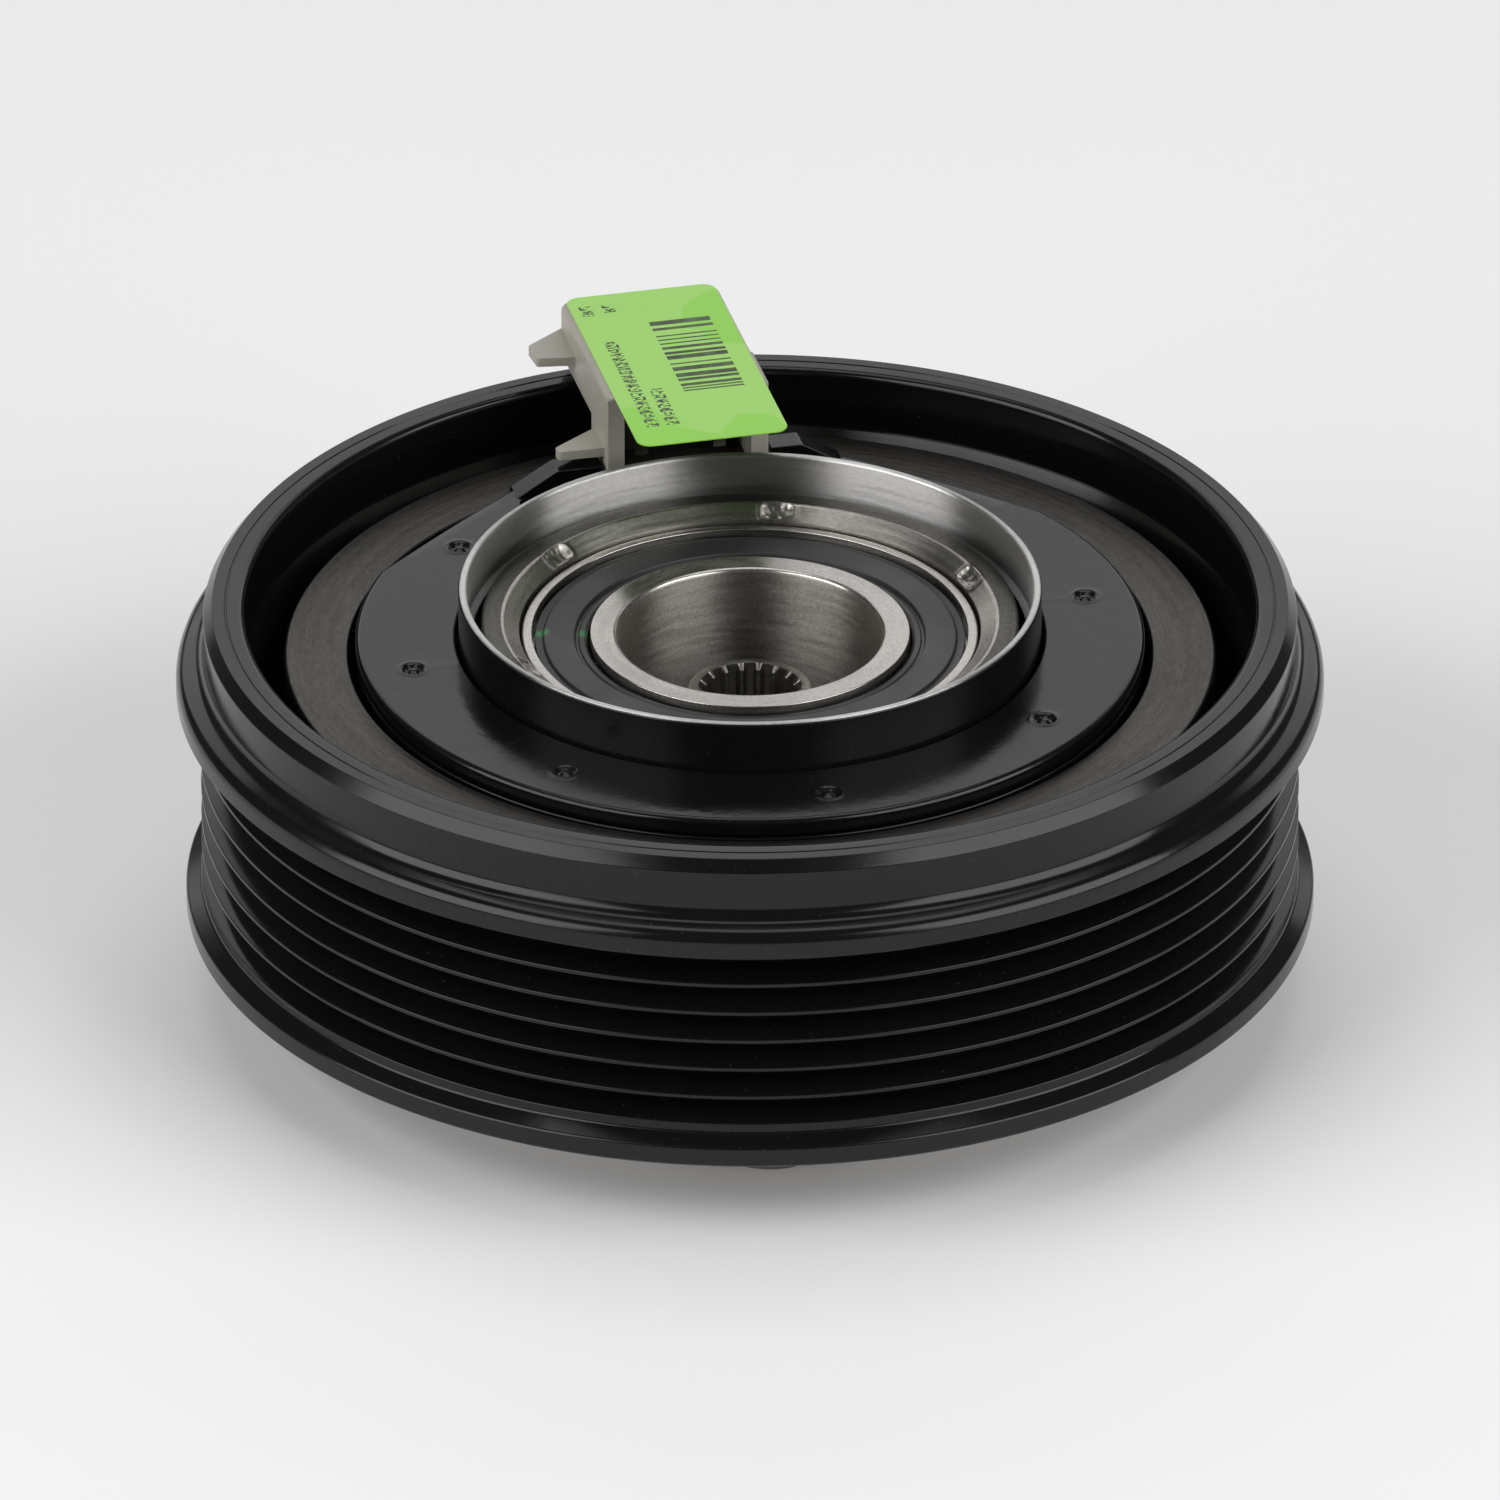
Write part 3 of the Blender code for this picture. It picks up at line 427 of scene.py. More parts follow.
class Finish:
    """A Principled material and the nodes of its patterns."""

    def __init__(self, name, colour, roughness, metallic=0.0, **constants):
        self.material = bpy.data.materials.new(name)
        self.material.use_nodes = True
        self.tree = self.material.node_tree
        self.shader = self.tree.nodes["Principled BSDF"]
        self.set("Base Color", (*colour, 1.0))
        self.set("Roughness", roughness)
        self.set("Metallic", metallic)
        for socket, value in constants.items():
            self.set(socket.replace("_", " "), value)
        self.place = self.node("ShaderNodeTexCoord").outputs["Object"]

    def set(self, socket, value):
        self.shader.inputs[socket].default_value = value

    def node(self, kind, settings=(), **inputs):
        made = self.tree.nodes.new(kind)
        for key, value in dict(settings).items():
            setattr(made, key, value)
        for key, value in inputs.items():
            self.feed(made.inputs[key.replace("_", " ")], value)
        return made

    def feed(self, socket, value):
        if isinstance(value, bpy.types.NodeSocket):
            self.tree.links.new(value, socket)
        else:
            socket.default_value = value

    def math(self, operation, *values):
        made = self.node("ShaderNodeMath", {"operation": operation})
        for socket, value in zip(made.inputs, values):
            self.feed(socket, value)
        return made.outputs[0]

    def noise(self, scale, detail=3.0, vector=None, rough=0.5):
        made = self.node("ShaderNodeTexNoise", Scale=scale, Detail=detail, Roughness=rough,
                         Vector=vector or self.place)
        return made.outputs["Fac"]

    def split(self, vector=None):
        return self.node("ShaderNodeSeparateXYZ", Vector=vector or self.place).outputs

    def round_place(self, across, along):
        """Coordinates that change quickly across the turning marks and slowly along them."""
        x, y, z = self.split()
        radius = self.math("SQRT", self.math("ADD", self.math("MULTIPLY", x, x),
                                             self.math("MULTIPLY", y, y)))
        depth = self.math("MULTIPLY", self.math("ADD", radius, self.math("MULTIPLY", z, 1.7)),
                          across)
        around = [self.math("MULTIPLY", self.math("DIVIDE", side, radius), along) for side in (x, y)]
        return self.node("ShaderNodeCombineXYZ", X=depth, Y=around[0], Z=around[1]).outputs[0]

    def span(self, value, low, high, start=0.3, end=0.7):
        """The value mapped from start..end to low..high."""
        return self.node("ShaderNodeMapRange", Value=value, **{
            "From_Min": start, "From_Max": end, "To_Min": low, "To_Max": high}).outputs[0]

    def roughness(self, value, low, high, start=0.3, end=0.7):
        self.feed(self.shader.inputs["Roughness"], self.span(value, low, high, start, end))

    def mix(self, fac, a, b):
        made = self.node("ShaderNodeMix", {"data_type": "RGBA"})
        self.feed(made.inputs["Factor"], fac)
        for socket, value in ((made.inputs[6], a), (made.inputs[7], b)):
            self.feed(socket, value if isinstance(value, bpy.types.NodeSocket) else (*value, 1.0))
        return made.outputs[2]

    def colour(self, fac, a, b):
        self.feed(self.shader.inputs["Base Color"], self.mix(fac, a, b))

    def bump(self, *layers):
        """Each layer is a height and its depth in millimetres."""
        last = None
        for height, depth in layers:
            made = self.node("ShaderNodeBump", Height=height, Distance=depth * MM, Strength=1.0)
            if last:
                self.tree.links.new(last, made.inputs["Normal"])
            last = made.outputs["Normal"]
        self.tree.links.new(last, self.shader.inputs["Normal"])

    def turned(self, strength):
        """Stretches reflections across the turning marks."""
        self.set("Anisotropic", strength)
        self.set("Anisotropic Rotation", 0.25)
        tangent = self.node("ShaderNodeTangent", {"direction_type": "RADIAL", "axis": "Z"})
        self.tree.links.new(tangent.outputs[0], self.shader.inputs["Tangent"])


def turned_metal(name, colour, tint, roughness, anisotropy, marks=0.004, lines=0.0):
    """Machined metal. marks and lines are the depths of its fine and its coarse turning marks."""
    made = Finish(name, colour, roughness, 1.0)
    fine = made.noise(1.0, 2.0, made.round_place(7000.0, 9.0), 0.6)
    broad = made.noise(1.0, 2.0, made.round_place(900.0, 3.0))
    grain = made.noise(1.0, 2.0, made.round_place(3500.0, 40.0))
    made.colour(made.span(grain, 0.0, 1.0), colour, tint)
    made.roughness(broad, roughness - 0.05, roughness + 0.06)
    cuts = made.noise(1.0, 1.0, made.round_place(2200.0, 1.0))
    made.bump((fine, marks), (broad, marks), (cuts, lines))
    made.turned(anisotropy)
    return made.material


def black_paint(name, roughness, peel, marks, colour=(0.0042, 0.0041, 0.0038)):
    """Gloss paint: orange peel, faint turning marks under it, and a little dust."""
    made = Finish(name, colour, roughness, IOR=1.39)
    ripple = made.noise(650.0, 2.0)
    lines = made.noise(1.0, 3.0, made.round_place(2600.0, 4.0), 0.6)
    cloud = made.noise(60.0, 4.0)
    dust = made.noise(2400.0, 1.0)
    made.roughness(cloud, roughness - 0.05, roughness + 0.08)
    specks = made.span(dust, 0.0, 1.0, 0.74, 0.8)
    made.colour(made.math("MULTIPLY", specks, 0.5), colour, (0.05, 0.048, 0.045))
    made.bump((ripple, peel), (lines, marks))
    return made.material


def moulded(name, colour, tint, roughness, grain=0.006, scale=2200.0, **constants):
    made = Finish(name, colour, roughness, **constants)
    fine = made.noise(scale, 3.0)
    cloud = made.noise(140.0, 3.0)
    made.colour(made.span(cloud, 0.0, 1.0), colour, tint)
    made.roughness(cloud, roughness - 0.06, roughness + 0.08)
    made.bump((fine, grain), (cloud, grain * 3))
    return made.material


def inked_rubber():
    """Seal rubber, with two small green ink marks on its left side."""
    made = Finish("seal_rubber_inked", (0.014, 0.014, 0.014), 0.4)
    cloud = made.noise(140.0, 3.0)
    ink = 0.0
    for x, y, reach in INK_MARKS:
        point = (x * MM, y * MM, (BEARING_REAR - 0.6) * MM)
        far = made.node("ShaderNodeVectorMath", {"operation": "DISTANCE"}).inputs
        made.feed(far[0], made.place)
        far[1].default_value = point
        edge = made.span(far[0].node.outputs["Value"], 1.0, 0.0, reach * 0.5 * MM, reach * MM)
        ink = made.math("MAXIMUM", ink, edge)
    patchy = made.math("MULTIPLY", ink, made.span(made.noise(1500.0, 2.0), 0.3, 1.0))
    made.colour(patchy, (0.016, 0.016, 0.016), (0.02, 0.22, 0.06))
    made.roughness(cloud, 0.34, 0.48)
    made.bump((made.noise(2600.0, 3.0), 0.008), (cloud, 0.024))
    return made.material


def label_paper():
    """Green label: patches where it has lost its contact, a bar pattern and rows of marks."""
    pale, deep, ink = (0.31, 0.6, 0.125), (0.23, 0.56, 0.045), (0.02, 0.03, 0.015)
    made = Finish("label_paper", pale, 0.42, IOR=1.45)
    x, y, _ = made.split()
    low, high = LABEL_SPAN
    u = made.span(x, 0.0, 1.0, -LABEL_WIDTH / 2 * MM, LABEL_WIDTH / 2 * MM)
    v = made.span(y, 1.0, 0.0, low * MM, high * MM)
    wobble = made.span(made.noise(170.0, 2.0), -0.16, 0.16)

    def within(value, start, end):
        return made.math("MULTIPLY", made.math("GREATER_THAN", value, start),
                         made.math("LESS_THAN", value, end))

    def blob(centre, size):
        """1 inside an uneven oval on the label, with a soft edge."""
        far = [made.math("POWER", made.math("DIVIDE", made.math("SUBTRACT", value, middle), reach), 2.0)
               for value, middle, reach in zip((u, v), centre, size)]
        distance = made.math("ADD", made.math("ADD", *far), made.math("MULTIPLY", wobble, 3.0))
        return made.span(distance, 1.0, 0.0, 0.85, 1.1)

    patches = 0.0
    for centre, size in (((1.0, 0.22), (0.3, 0.17)), ((0.0, 1.0), (0.42, 0.24)),
                         ((0.3, 1.02), (0.35, 0.1)), ((0.77, 0.97), (0.24, 0.1))):
        patches = made.math("MAXIMUM", patches, blob(centre, size))
    paper = made.mix(patches, pale, deep)

    def cells(value, count):
        return made.math("FLOOR", made.math("MULTIPLY", value, float(count)))

    def chance(a, b):
        vector = made.node("ShaderNodeCombineXYZ", X=a, Y=b).outputs[0]
        return made.node("ShaderNodeTexWhiteNoise", {"noise_dimensions": "2D"}, Vector=vector).outputs[0]

    bars = made.math("GREATER_THAN", chance(cells(v, 118), 3.0), 0.48)
    area = made.math("MULTIPLY", within(u, 0.46, 0.865), within(v, 0.21, 0.68))
    marks = made.math("MULTIPLY", bars, area)
    for left, right, top, bottom in ((0.11, 0.195, 0.31, 0.88), (0.245, 0.33, 0.64, 0.88),
                                     (0.06, 0.14, 0.06, 0.13), (0.21, 0.29, 0.07, 0.12)):
        across = made.span(u, 0.0, 1.0, left, right)
        dots = made.math("GREATER_THAN", chance(cells(v, 170), cells(across, 5)), 0.42)
        gaps = made.math("GREATER_THAN", made.math("FRACT", made.math("MULTIPLY", v, 34.0)), 0.22)
        row = made.math("MULTIPLY", within(u, left, right), within(v, top, bottom))
        row = made.math("MULTIPLY", made.math("MULTIPLY", row, dots), gaps)
        marks = made.math("MAXIMUM", marks, row)
    fade = made.span(made.noise(900.0, 2.0), 0.86, 1.0)
    made.feed(made.shader.inputs["Base Color"],
              made.mix(made.math("MULTIPLY", marks, fade), paper, ink))
    made.roughness(patches, 0.45, 0.3, 0.0, 1.0)
    made.bump((made.noise(1500.0, 3.0), 0.004), (patches, -0.02))
    return made.material


paint = black_paint("pulley_paint", 0.15, 0.002, 0.003)
plate_paint = black_paint("plate_paint", 0.16, 0.024, 0.0)
rotor_dark = turned_metal("rotor_dark", (0.045, 0.042, 0.039), (0.075, 0.069, 0.062), 0.34, 0.5,
                          0.004, 0.04)
rotor_bright = turned_metal("rotor_bright", (0.42, 0.4, 0.37), (0.3, 0.285, 0.26), 0.3, 0.7, 0.001)
rotor_face = turned_metal("rotor_face", (0.1, 0.096, 0.088), (0.06, 0.057, 0.052), 0.32, 0.6, 0.003)
bearing_steel = turned_metal("bearing_steel", (0.52, 0.5, 0.475), (0.42, 0.4, 0.375), 0.26, 0.7, 0.002)
bore_steel = turned_metal("bore_steel", (0.46, 0.43, 0.39), (0.3, 0.28, 0.255), 0.44, 0.85, 0.0015)
collar_steel = turned_metal("collar_steel", (0.62, 0.61, 0.6), (0.52, 0.51, 0.5), 0.37, 0.97, 0.0006)
shell_steel = black_paint("shell_steel", 0.25, 0.003, 0.004)
ball_steel = turned_metal("ball_steel", (0.7, 0.7, 0.69), (0.66, 0.66, 0.65), 0.1, 0.0, 0.0005)
armature_steel = turned_metal("armature_steel", (0.11, 0.105, 0.1), (0.15, 0.14, 0.13), 0.38, 0.4, 0.01)
hub_steel = turned_metal("hub_steel", (0.1, 0.096, 0.09), (0.14, 0.13, 0.12), 0.4, 0.3, 0.008)
spline_steel = turned_metal("spline_steel", (0.3, 0.285, 0.26), (0.22, 0.21, 0.19), 0.34, 0.3)
rivet_steel = turned_metal("rivet_steel", (0.1, 0.098, 0.095), (0.15, 0.14, 0.13), 0.4, 0.2, 0.006)
copper = turned_metal("copper_wire", (0.62, 0.27, 0.12), (0.5, 0.2, 0.08), 0.28, 0.2, 0.003)
rubber = moulded("seal_rubber", (0.014, 0.014, 0.014), (0.02, 0.02, 0.02), 0.4, 0.008, 2600.0)
rubber_inked = inked_rubber()
nylon = moulded("cage_nylon", (0.5, 0.4, 0.22), (0.42, 0.33, 0.18), 0.45)
bobbin_nylon = moulded("bobbin_nylon", (0.6, 0.57, 0.48), (0.52, 0.49, 0.4), 0.45)
resin = moulded("resin", (0.012, 0.012, 0.013), (0.02, 0.019, 0.018), 0.3, 0.02, 700.0)
plastic = moulded("connector_plastic", (0.36, 0.345, 0.295), (0.33, 0.315, 0.27), 0.46, 0.005)
# The near-black cavity material is painted shade: it darkens the recess's inner faces, which are really
# the housing's grey plastic.
painted_shade_cavity = moulded("connector_recess_painted_shade", (0.012, 0.011, 0.01), (0.02, 0.018, 0.016), 0.5)
label_finish = label_paper()


def spring_finish():
    """Tempered strip: rolled along its length, with a bluish brown bloom."""
    made = Finish("spring_steel", (0.09, 0.088, 0.09), 0.34, 1.0)
    x, y, z = made.split()
    rolled = made.node("ShaderNodeCombineXYZ", X=made.math("MULTIPLY", x, 4000.0),
                       Y=made.math("MULTIPLY", y, 60.0), Z=z).outputs[0]
    lines = made.noise(1.0, 3.0, rolled)
    cloud = made.noise(90.0, 3.0)
    made.colour(made.span(cloud, 0.0, 1.0), (0.1, 0.096, 0.105), (0.12, 0.1, 0.08))
    made.roughness(lines, 0.28, 0.4)
    made.bump((lines, 0.004))
    return made.material


def tinned_finish():
    made = Finish("tinned_brass", (0.62, 0.6, 0.53), 0.26, 1.0)
    cloud = made.noise(300.0, 3.0)
    made.colour(made.span(cloud, 0.0, 1.0), (0.62, 0.6, 0.53), (0.5, 0.46, 0.36))
    made.roughness(cloud, 0.2, 0.34)
    made.bump((made.noise(1800.0, 2.0), 0.003))
    return made.material


spring_steel = spring_finish()
tinned_brass = tinned_finish()


# ---------------------------------------------------------------- pulley

def pulley_rim():
    corners = [
        (RIM_LAND, 0.0, 0.12), (RIM_WALL, -1.3, 0.35), (RIM_WALL, -6.67, 1.82),
        (FLANGE, -7.68, 1.9), (FLANGE, -10.36, 0.12), (62.6, -11.2, 0.3), (CREST, -11.55, 0.2),
    ]
    for i in range(GROOVE_COUNT):
        middle = FIRST_GROOVE - GROOVE_PITCH * i
        corners += [
            (CREST, middle + GROOVE_HALF_TOP, 0.16),
            (CREST - GROOVE_DEPTH, middle + GROOVE_HALF_ROOT, 0.22),
            (CREST - GROOVE_DEPTH, middle - GROOVE_HALF_ROOT, 0.22),
            (CREST, middle - GROOVE_HALF_TOP, 0.16),
        ]
    corners += [
        (CREST, -34.0, 0.5), (FRONT_FLANGE, -35.1, 0.45), (FRONT_FLANGE, RIM_FRONT, 0.45),
        (WEB_BORE, RIM_FRONT, 0.2), (WEB_BORE, WEB_REAR, 0.2), (RIM_INNER, WEB_REAR, 0.6),
        (RIM_INNER, BORE_STEP[1], 0.8), (RIM_BORE, BORE_STEP[0], 1.2), (RIM_BORE, 0.0, 0.85),
        (59.2, 0.0, 0.02), (59.28, -0.1, 0.0), (59.42, -0.1, 0.0), (59.5, 0.0, 0.02),
    ]
    show(smooth(lathe("pulley_rim_detail", corners, [paint])), "pulley", "pulley_paint", "pulley_rim")


def rotor():
    def stake(r, z, angle):
        """An oblong punch mark: rough inside, with metal pushed up round it."""
        if not 25.5 < r < 29.6 or z < -4.0:
            return r, z
        pitch = math.tau / STAKE_COUNT
        turn = (angle - math.radians(STAKE_FIRST) + pitch / 2) % pitch - pitch / 2
        along, across = r * turn / STAKE_HALF[0], (r - STAKE_RADIUS) / STAKE_HALF[1]
        edge = (along ** 4 + across ** 4) ** 0.25
        if edge > 1.9:
            return r, z
        z += 0.13 * math.exp(-((edge - 1.16) / 0.15) ** 2)
        if edge < 1.0:
            here = Vector((r * math.cos(angle), r * math.sin(angle), 0.0))
            rough = 0.1 * noise.noise(here * 1.9) + 0.05 * noise.noise(here * 5)
            z += rough - STAKE_DEPTH * (1 - edge ** 4)
        return r, z

    chamfer, land = (27.9, -2.05), (28.2, HUB_REAR)
    seat = dense((BEARING_SEAT, -3.3), chamfer, 0.17) + dense(chamfer, land, 0.17)
    seat += dense(land, (29.6, HUB_REAR), 0.2)
    slot_radii = [r for row in SLOT_ROWS for r in row[:2]]
    corners = [(POLE[1], POLE_REAR, 0.35), (POLE[1], FRICTION_FACE, 0.25)]
    corners += [(r, FRICTION_FACE) for r in reversed(slot_radii)]
    corners += [(ROTOR_OPENING, FRICTION_FACE, 0.3), (ROTOR_OPENING, SEAT_FRONT, 0.2),
                (BEARING_SEAT, SEAT_FRONT, 0.1), *seat,
                (ROTOR_HUB, HUB_REAR, 0.3), (ROTOR_HUB, DISC_REAR, 0.8)]
    corners += [(r, DISC_REAR) for r in slot_radii]
    corners += [(POLE[0], DISC_REAR, 0.5), (POLE[0], POLE_REAR, 0.3)]

    def zone(r, z):
        """0 is the dark body, 1 the bright chamfer and seat, and 2 the face round them."""
        if r > 30.3 or z < -26.5:
            return 0
        return 1 if r < 28.15 else 2

    finish = [rotor_dark, rotor_bright, rotor_face]
    made = lathe("rotor_detail", corners, finish, FINE_STEPS, zone, stake, slots=SLOT_ROWS)
    show(smooth(made), "pulley", "rotor_steel", "rotor")


def race(side, shoulder, direction):
    """The arc of a ball groove in the outer ring (direction 1) or the inner ring (direction -1)."""
    radius = BALL_RADIUS + 0.3
    half = math.degrees(math.acos((shoulder - BALL_PITCH_RADIUS) * direction / radius))
    middle = (BALL_PITCH_RADIUS, BEARING_MIDDLE + side * ROW_OFFSET)
    centre = 0.0 if direction > 0 else 180.0
    return arc(middle, radius, centre + half * direction, centre - half * direction, 12)


def bearing():
    front = BEARING_REAR - BEARING_WIDTH
    outer = [
        (OUTER_RING[1], BEARING_REAR, 0.28), (OUTER_RING[1], front, 0.28),
        (OUTER_RING[0], front, 0.1), (OUTER_RING[0], front + SEAL_SEAT, 0.1),
        (OUTER_SHOULDER, front + SEAL_SEAT, 0.1), *reversed(race(-1, OUTER_SHOULDER, 1)),
        *reversed(race(1, OUTER_SHOULDER, 1)), (OUTER_SHOULDER, BEARING_REAR - SEAL_SEAT, 0.1),
        (OUTER_RING[0], BEARING_REAR - SEAL_SEAT, 0.1), (OUTER_RING[0], BEARING_REAR, 0.1),
    ]
    made = lathe("bearing_outer_ring_detail", outer, [bearing_steel])
    show(smooth(made), "pulley", "bearing_steel", "bearing_outer_ring")
    bore, face = INNER_RING
    inner = [
        (face, BEARING_REAR, 0.15), *race(1, face, -1), *race(-1, face, -1), (face, front, 0.15),
        (bore, front, 0.6), (bore, BEARING_REAR, 0.55),
    ]

    def zone(r, z):
        return 1 if r < bore + 0.05 else 0

    made = lathe("bearing_inner_ring_detail", inner, [bearing_steel, bore_steel], zone=zone)
    show(smooth(made), "stator", "bearing_steel", "bearing_inner_ring")
    seal = [
        (24.4, 0.5, 0.15), (24.4, -0.72, 0.1), (18.4, -0.72, 0.1), (18.4, 0.2, 0.15),
        (18.75, 0.42, 0.15), (19.3, 0.42, 0.12), (19.45, 0.25, 0.08), (19.75, 0.25, 0.08),
        (19.9, 0.7, 0.15), (23.3, 0.72, 0.2), (23.5, 0.35, 0.1), (23.8, 0.35, 0.1),
    ]
    for label, side in (("rear", 1), ("front", -1)):
        middle = BEARING_MIDDLE + side * SEAL_OFFSET
        corners = [(r, middle + side * z, fillet) for r, z, fillet in seal]
        finish = rubber_inked if side > 0 else rubber
        made = lathe(f"bearing_seal_{label}_detail", corners[::side], [finish])
        show(smooth(made), "pulley", "seal_rubber", f"bearing_seal_{label}")
        row = BEARING_MIDDLE + side * ROW_OFFSET
        turns = [math.pi * i / 20 for i in range(21)]
        half = [(BALL_RADIUS * math.sin(t), row + BALL_RADIUS * math.cos(t)) for t in turns]
        half[0], half[-1] = (0.0, row + BALL_RADIUS), (0.0, row - BALL_RADIUS)
        balls = []
        for i in range(BALL_COUNT):
            ball = lathe(f"ball_{i}", half, [ball_steel], 32, closed=False)
            x, y = polar(BALL_PITCH_RADIUS, 360 / BALL_COUNT * i)
            ball.location += Vector((x, y, 0.0)) * MM
            balls.append(ball)
        bpy.context.view_layer.update()
        made = joined(*balls)
        made.name = f"ball_row_{label}"
        nodes = [f"ball_{label}_{i + 1:02d}" for i in range(BALL_COUNT)]
        show(smooth(made), f"{label}_ball_row", "ball_steel", *nodes)
        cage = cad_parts[f"ball_cage_{label}"]
        cage.data.materials.clear()
        cage.data.materials.append(nylon)


# ------------------------------------------------------------------ coil

def facing():
    """The direction of the connector from the axis, in degrees."""
    return 90 + math.degrees(math.atan2(-CONNECTOR_AT[0], CONNECTOR_AT[1]))


def coil_shell():
    (in0, in1), (out0, out1) = SHELL_WALLS
    corners = [
        (COLLAR[1], COLLAR_TOP, 0.4), (COLLAR[1], SHELL_REAR, 0.3), (out1, SHELL_REAR, 0.3),
        (out1, SHELL_FRONT, 0.2), (out0, SHELL_FRONT, 0.2), (out0, -8.0, 0.5), (in1, -8.0, 0.5),
        (in1, SHELL_FRONT, 0.2), (in0, SHELL_FRONT, 0.2), (in0, -4.1, 0.4),
        (COLLAR[0], -3.4, 0.3), (COLLAR[0], COLLAR_TOP, 0.34),
    ]

    def zone(r, z):
        return 1 if r < 32.86 and z > -4.2 else 0

    made = lathe("coil_shell_detail", corners, [shell_steel, collar_steel], zone=zone)
    show(smooth(made), "stator", "coil_steel", "coil_shell")


def coil_windings():
    inside, core, outside = BOBBIN_RADII
    (rear, rear_under), (front_under, front) = BOBBIN_FLANGES
    bobbin = [
        (outside, rear, 0.2), (outside, rear_under, 0.2), (core, rear_under, 0.3),
        (core, front_under, 0.3), (outside, front_under, 0.2), (outside, front, 0.2),
        (inside, front, 0.2), (inside, rear, 0.2),
    ]
    made = lathe("coil_bobbin_detail", bobbin, [bobbin_nylon], SMALL_STEPS * 3)
    show(smooth(made), "stator", "bobbin_nylon", "coil_bobbin")
    under, over = WINDING_RADII
    top, bottom = WINDING_HEIGHTS
    pitch = (top - bottom) / WINDING_LAYERS
    wires = []
    for i in range(WINDING_LAYERS):
        wires += arc((over - pitch / 2, top - pitch * (i + 0.5)), pitch / 2, 80, -80, 6)
    back = [(under, bottom, 0.1), (under, top, 0.1)]
    made = lathe("coil_winding_detail", wires + back, [copper], SMALL_STEPS * 3)
    show(smooth(made, math.radians(75)), "stator", "copper_wire", "coil_winding")
    potting = [(42.5, -30.95, 0.1), (42.5, -32.1, 0.1), (38.0, -32.2, 1.0), (33.6, -32.05, 0.1),
               (33.6, -30.95, 0.1)]
    made = lathe("coil_potting_detail", potting, [resin], SMALL_STEPS * 3)
    show(smooth(made), "stator", "resin", "coil_potting")


def coil_plate():
    middles = [DIMPLE_FIRST + 360 / DIMPLE_COUNT * i for i in range(DIMPLE_COUNT)]
    middles = [math.radians(m) for m in middles if abs(m - facing()) > 15]
    flats = [math.radians(facing() + side * PLATE_FLAT_ANGLE) for side in (-1, 1)]

    def press(r, z, angle):
        """Pressed dimples, and the two straight edges."""
        if r > PLATE_EVEN:
            for normal in flats:
                limit = PLATE_FLAT / max(math.cos(angle - normal), 0.5)
                if limit < PLATE_EDGE:
                    r = PLATE_EVEN + (r - PLATE_EVEN) * (limit - PLATE_EVEN) / (PLATE_EDGE - PLATE_EVEN)
        if z > PLATE_REAR - 0.1 and abs(r - DIMPLE_CIRCLE) < 2.4:
            for middle in middles:
                turn = (angle - middle + math.pi) % math.tau - math.pi
                if abs(turn) < 0.08:
                    far = math.hypot(r - DIMPLE_CIRCLE, DIMPLE_CIRCLE * turn)
                    z -= 0.34 * math.exp(-((far - 0.85) / 0.3) ** 2)
                    z += 0.07 * math.exp(-((far - 1.55) / 0.25) ** 2)
        return r, z

    low = PLATE_REAR - PLATE_THICKNESS
    first, last = DIMPLE_BAND
    corners = [
        (PLATE_EDGE, PLATE_REAR, 0.75), (PLATE_EDGE, low, 0.2), (PLATE_BORE, low, 0.2),
        (PLATE_BORE, PLATE_REAR, 0.4), *dense((first, PLATE_REAR), (last, PLATE_REAR), 0.19),
        (last, PLATE_REAR), (PLATE_EVEN, PLATE_REAR),
    ]
    made = lathe("coil_plate_detail", corners, [plate_paint], PLATE_STEPS, warp=press)
    straps = []
    for side, root in zip((-1, 1), STRAP_ROOTS):
        radius = 0.9
        centre = (HALF_WIDTH + root - radius, -0.8)
        outline = [(HALF_WIDTH - 1, -1.7), *arc(centre, radius, -90, 90, 12), (HALF_WIDTH - 1, 0.1)]
        if side < 0:
            outline = [(-x, y) for x, y in reversed(outline)]
        slot = slab("slot", outline, low - 1, PLATE_REAR + 1, [], CONNECTOR_TURN, CONNECTOR_AT)
        combine(made, slot, "DIFFERENCE")
        straps.append(strap(side, root, low))
    joined(made, *straps)
    show(smooth(made), "stator", "plate_paint", "coil_plate")


def strap(side, root, low):
    """Rises from the plate and ends level under the connector's lug."""
    start, root = HALF_WIDTH + 0.5, HALF_WIDTH + root
    under, top = STRAP_HEIGHTS
    outline = [
        (root + 0.2, low + 0.2, 0.1), (root + 0.2, PLATE_REAR - 0.1, 0.5),
        (root - STRAP_RAMP, top, 0.9), (start, top, 0.15), (start, under, 0.15),
        (root - STRAP_RAMP - 0.8, under, 0.6), (root - 2.2, low + 0.2, 0.1),
    ]
    if side < 0:
        outline = [(-x, y, f) for x, y, f in outline]
    outline = rounded(outline)
    made = slab(f"strap_{side}", outline, -STRAP_HALF_WIDTH, STRAP_HALF_WIDTH, [plate_paint],
                CONNECTOR_TURN, CONNECTOR_AT)
    made.data.transform(Matrix.Translation((0.0, STRAP_MIDDLE * MM, 0.0))
                        @ Matrix.Rotation(math.pi / 2, 4, "X"))
    return bevelled(made, 0.35)


# ------------------------------------------------------------- connector

def side_lug(root_span, tip_span, reach, top):
    """A four-sided lug on the housing's left side: it narrows outwards."""
    root, tip = 0.8 - HALF_WIDTH, -HALF_WIDTH - reach
    outline = [(root, root_span[1]), (tip, tip_span[1], 0.6), (tip + 0.3, tip_span[0], 0.45),
               (root, root_span[0])]
    return slab("lug", rounded(outline), top - LUG_THICKNESS, top, [], CONNECTOR_TURN, CONNECTOR_AT)


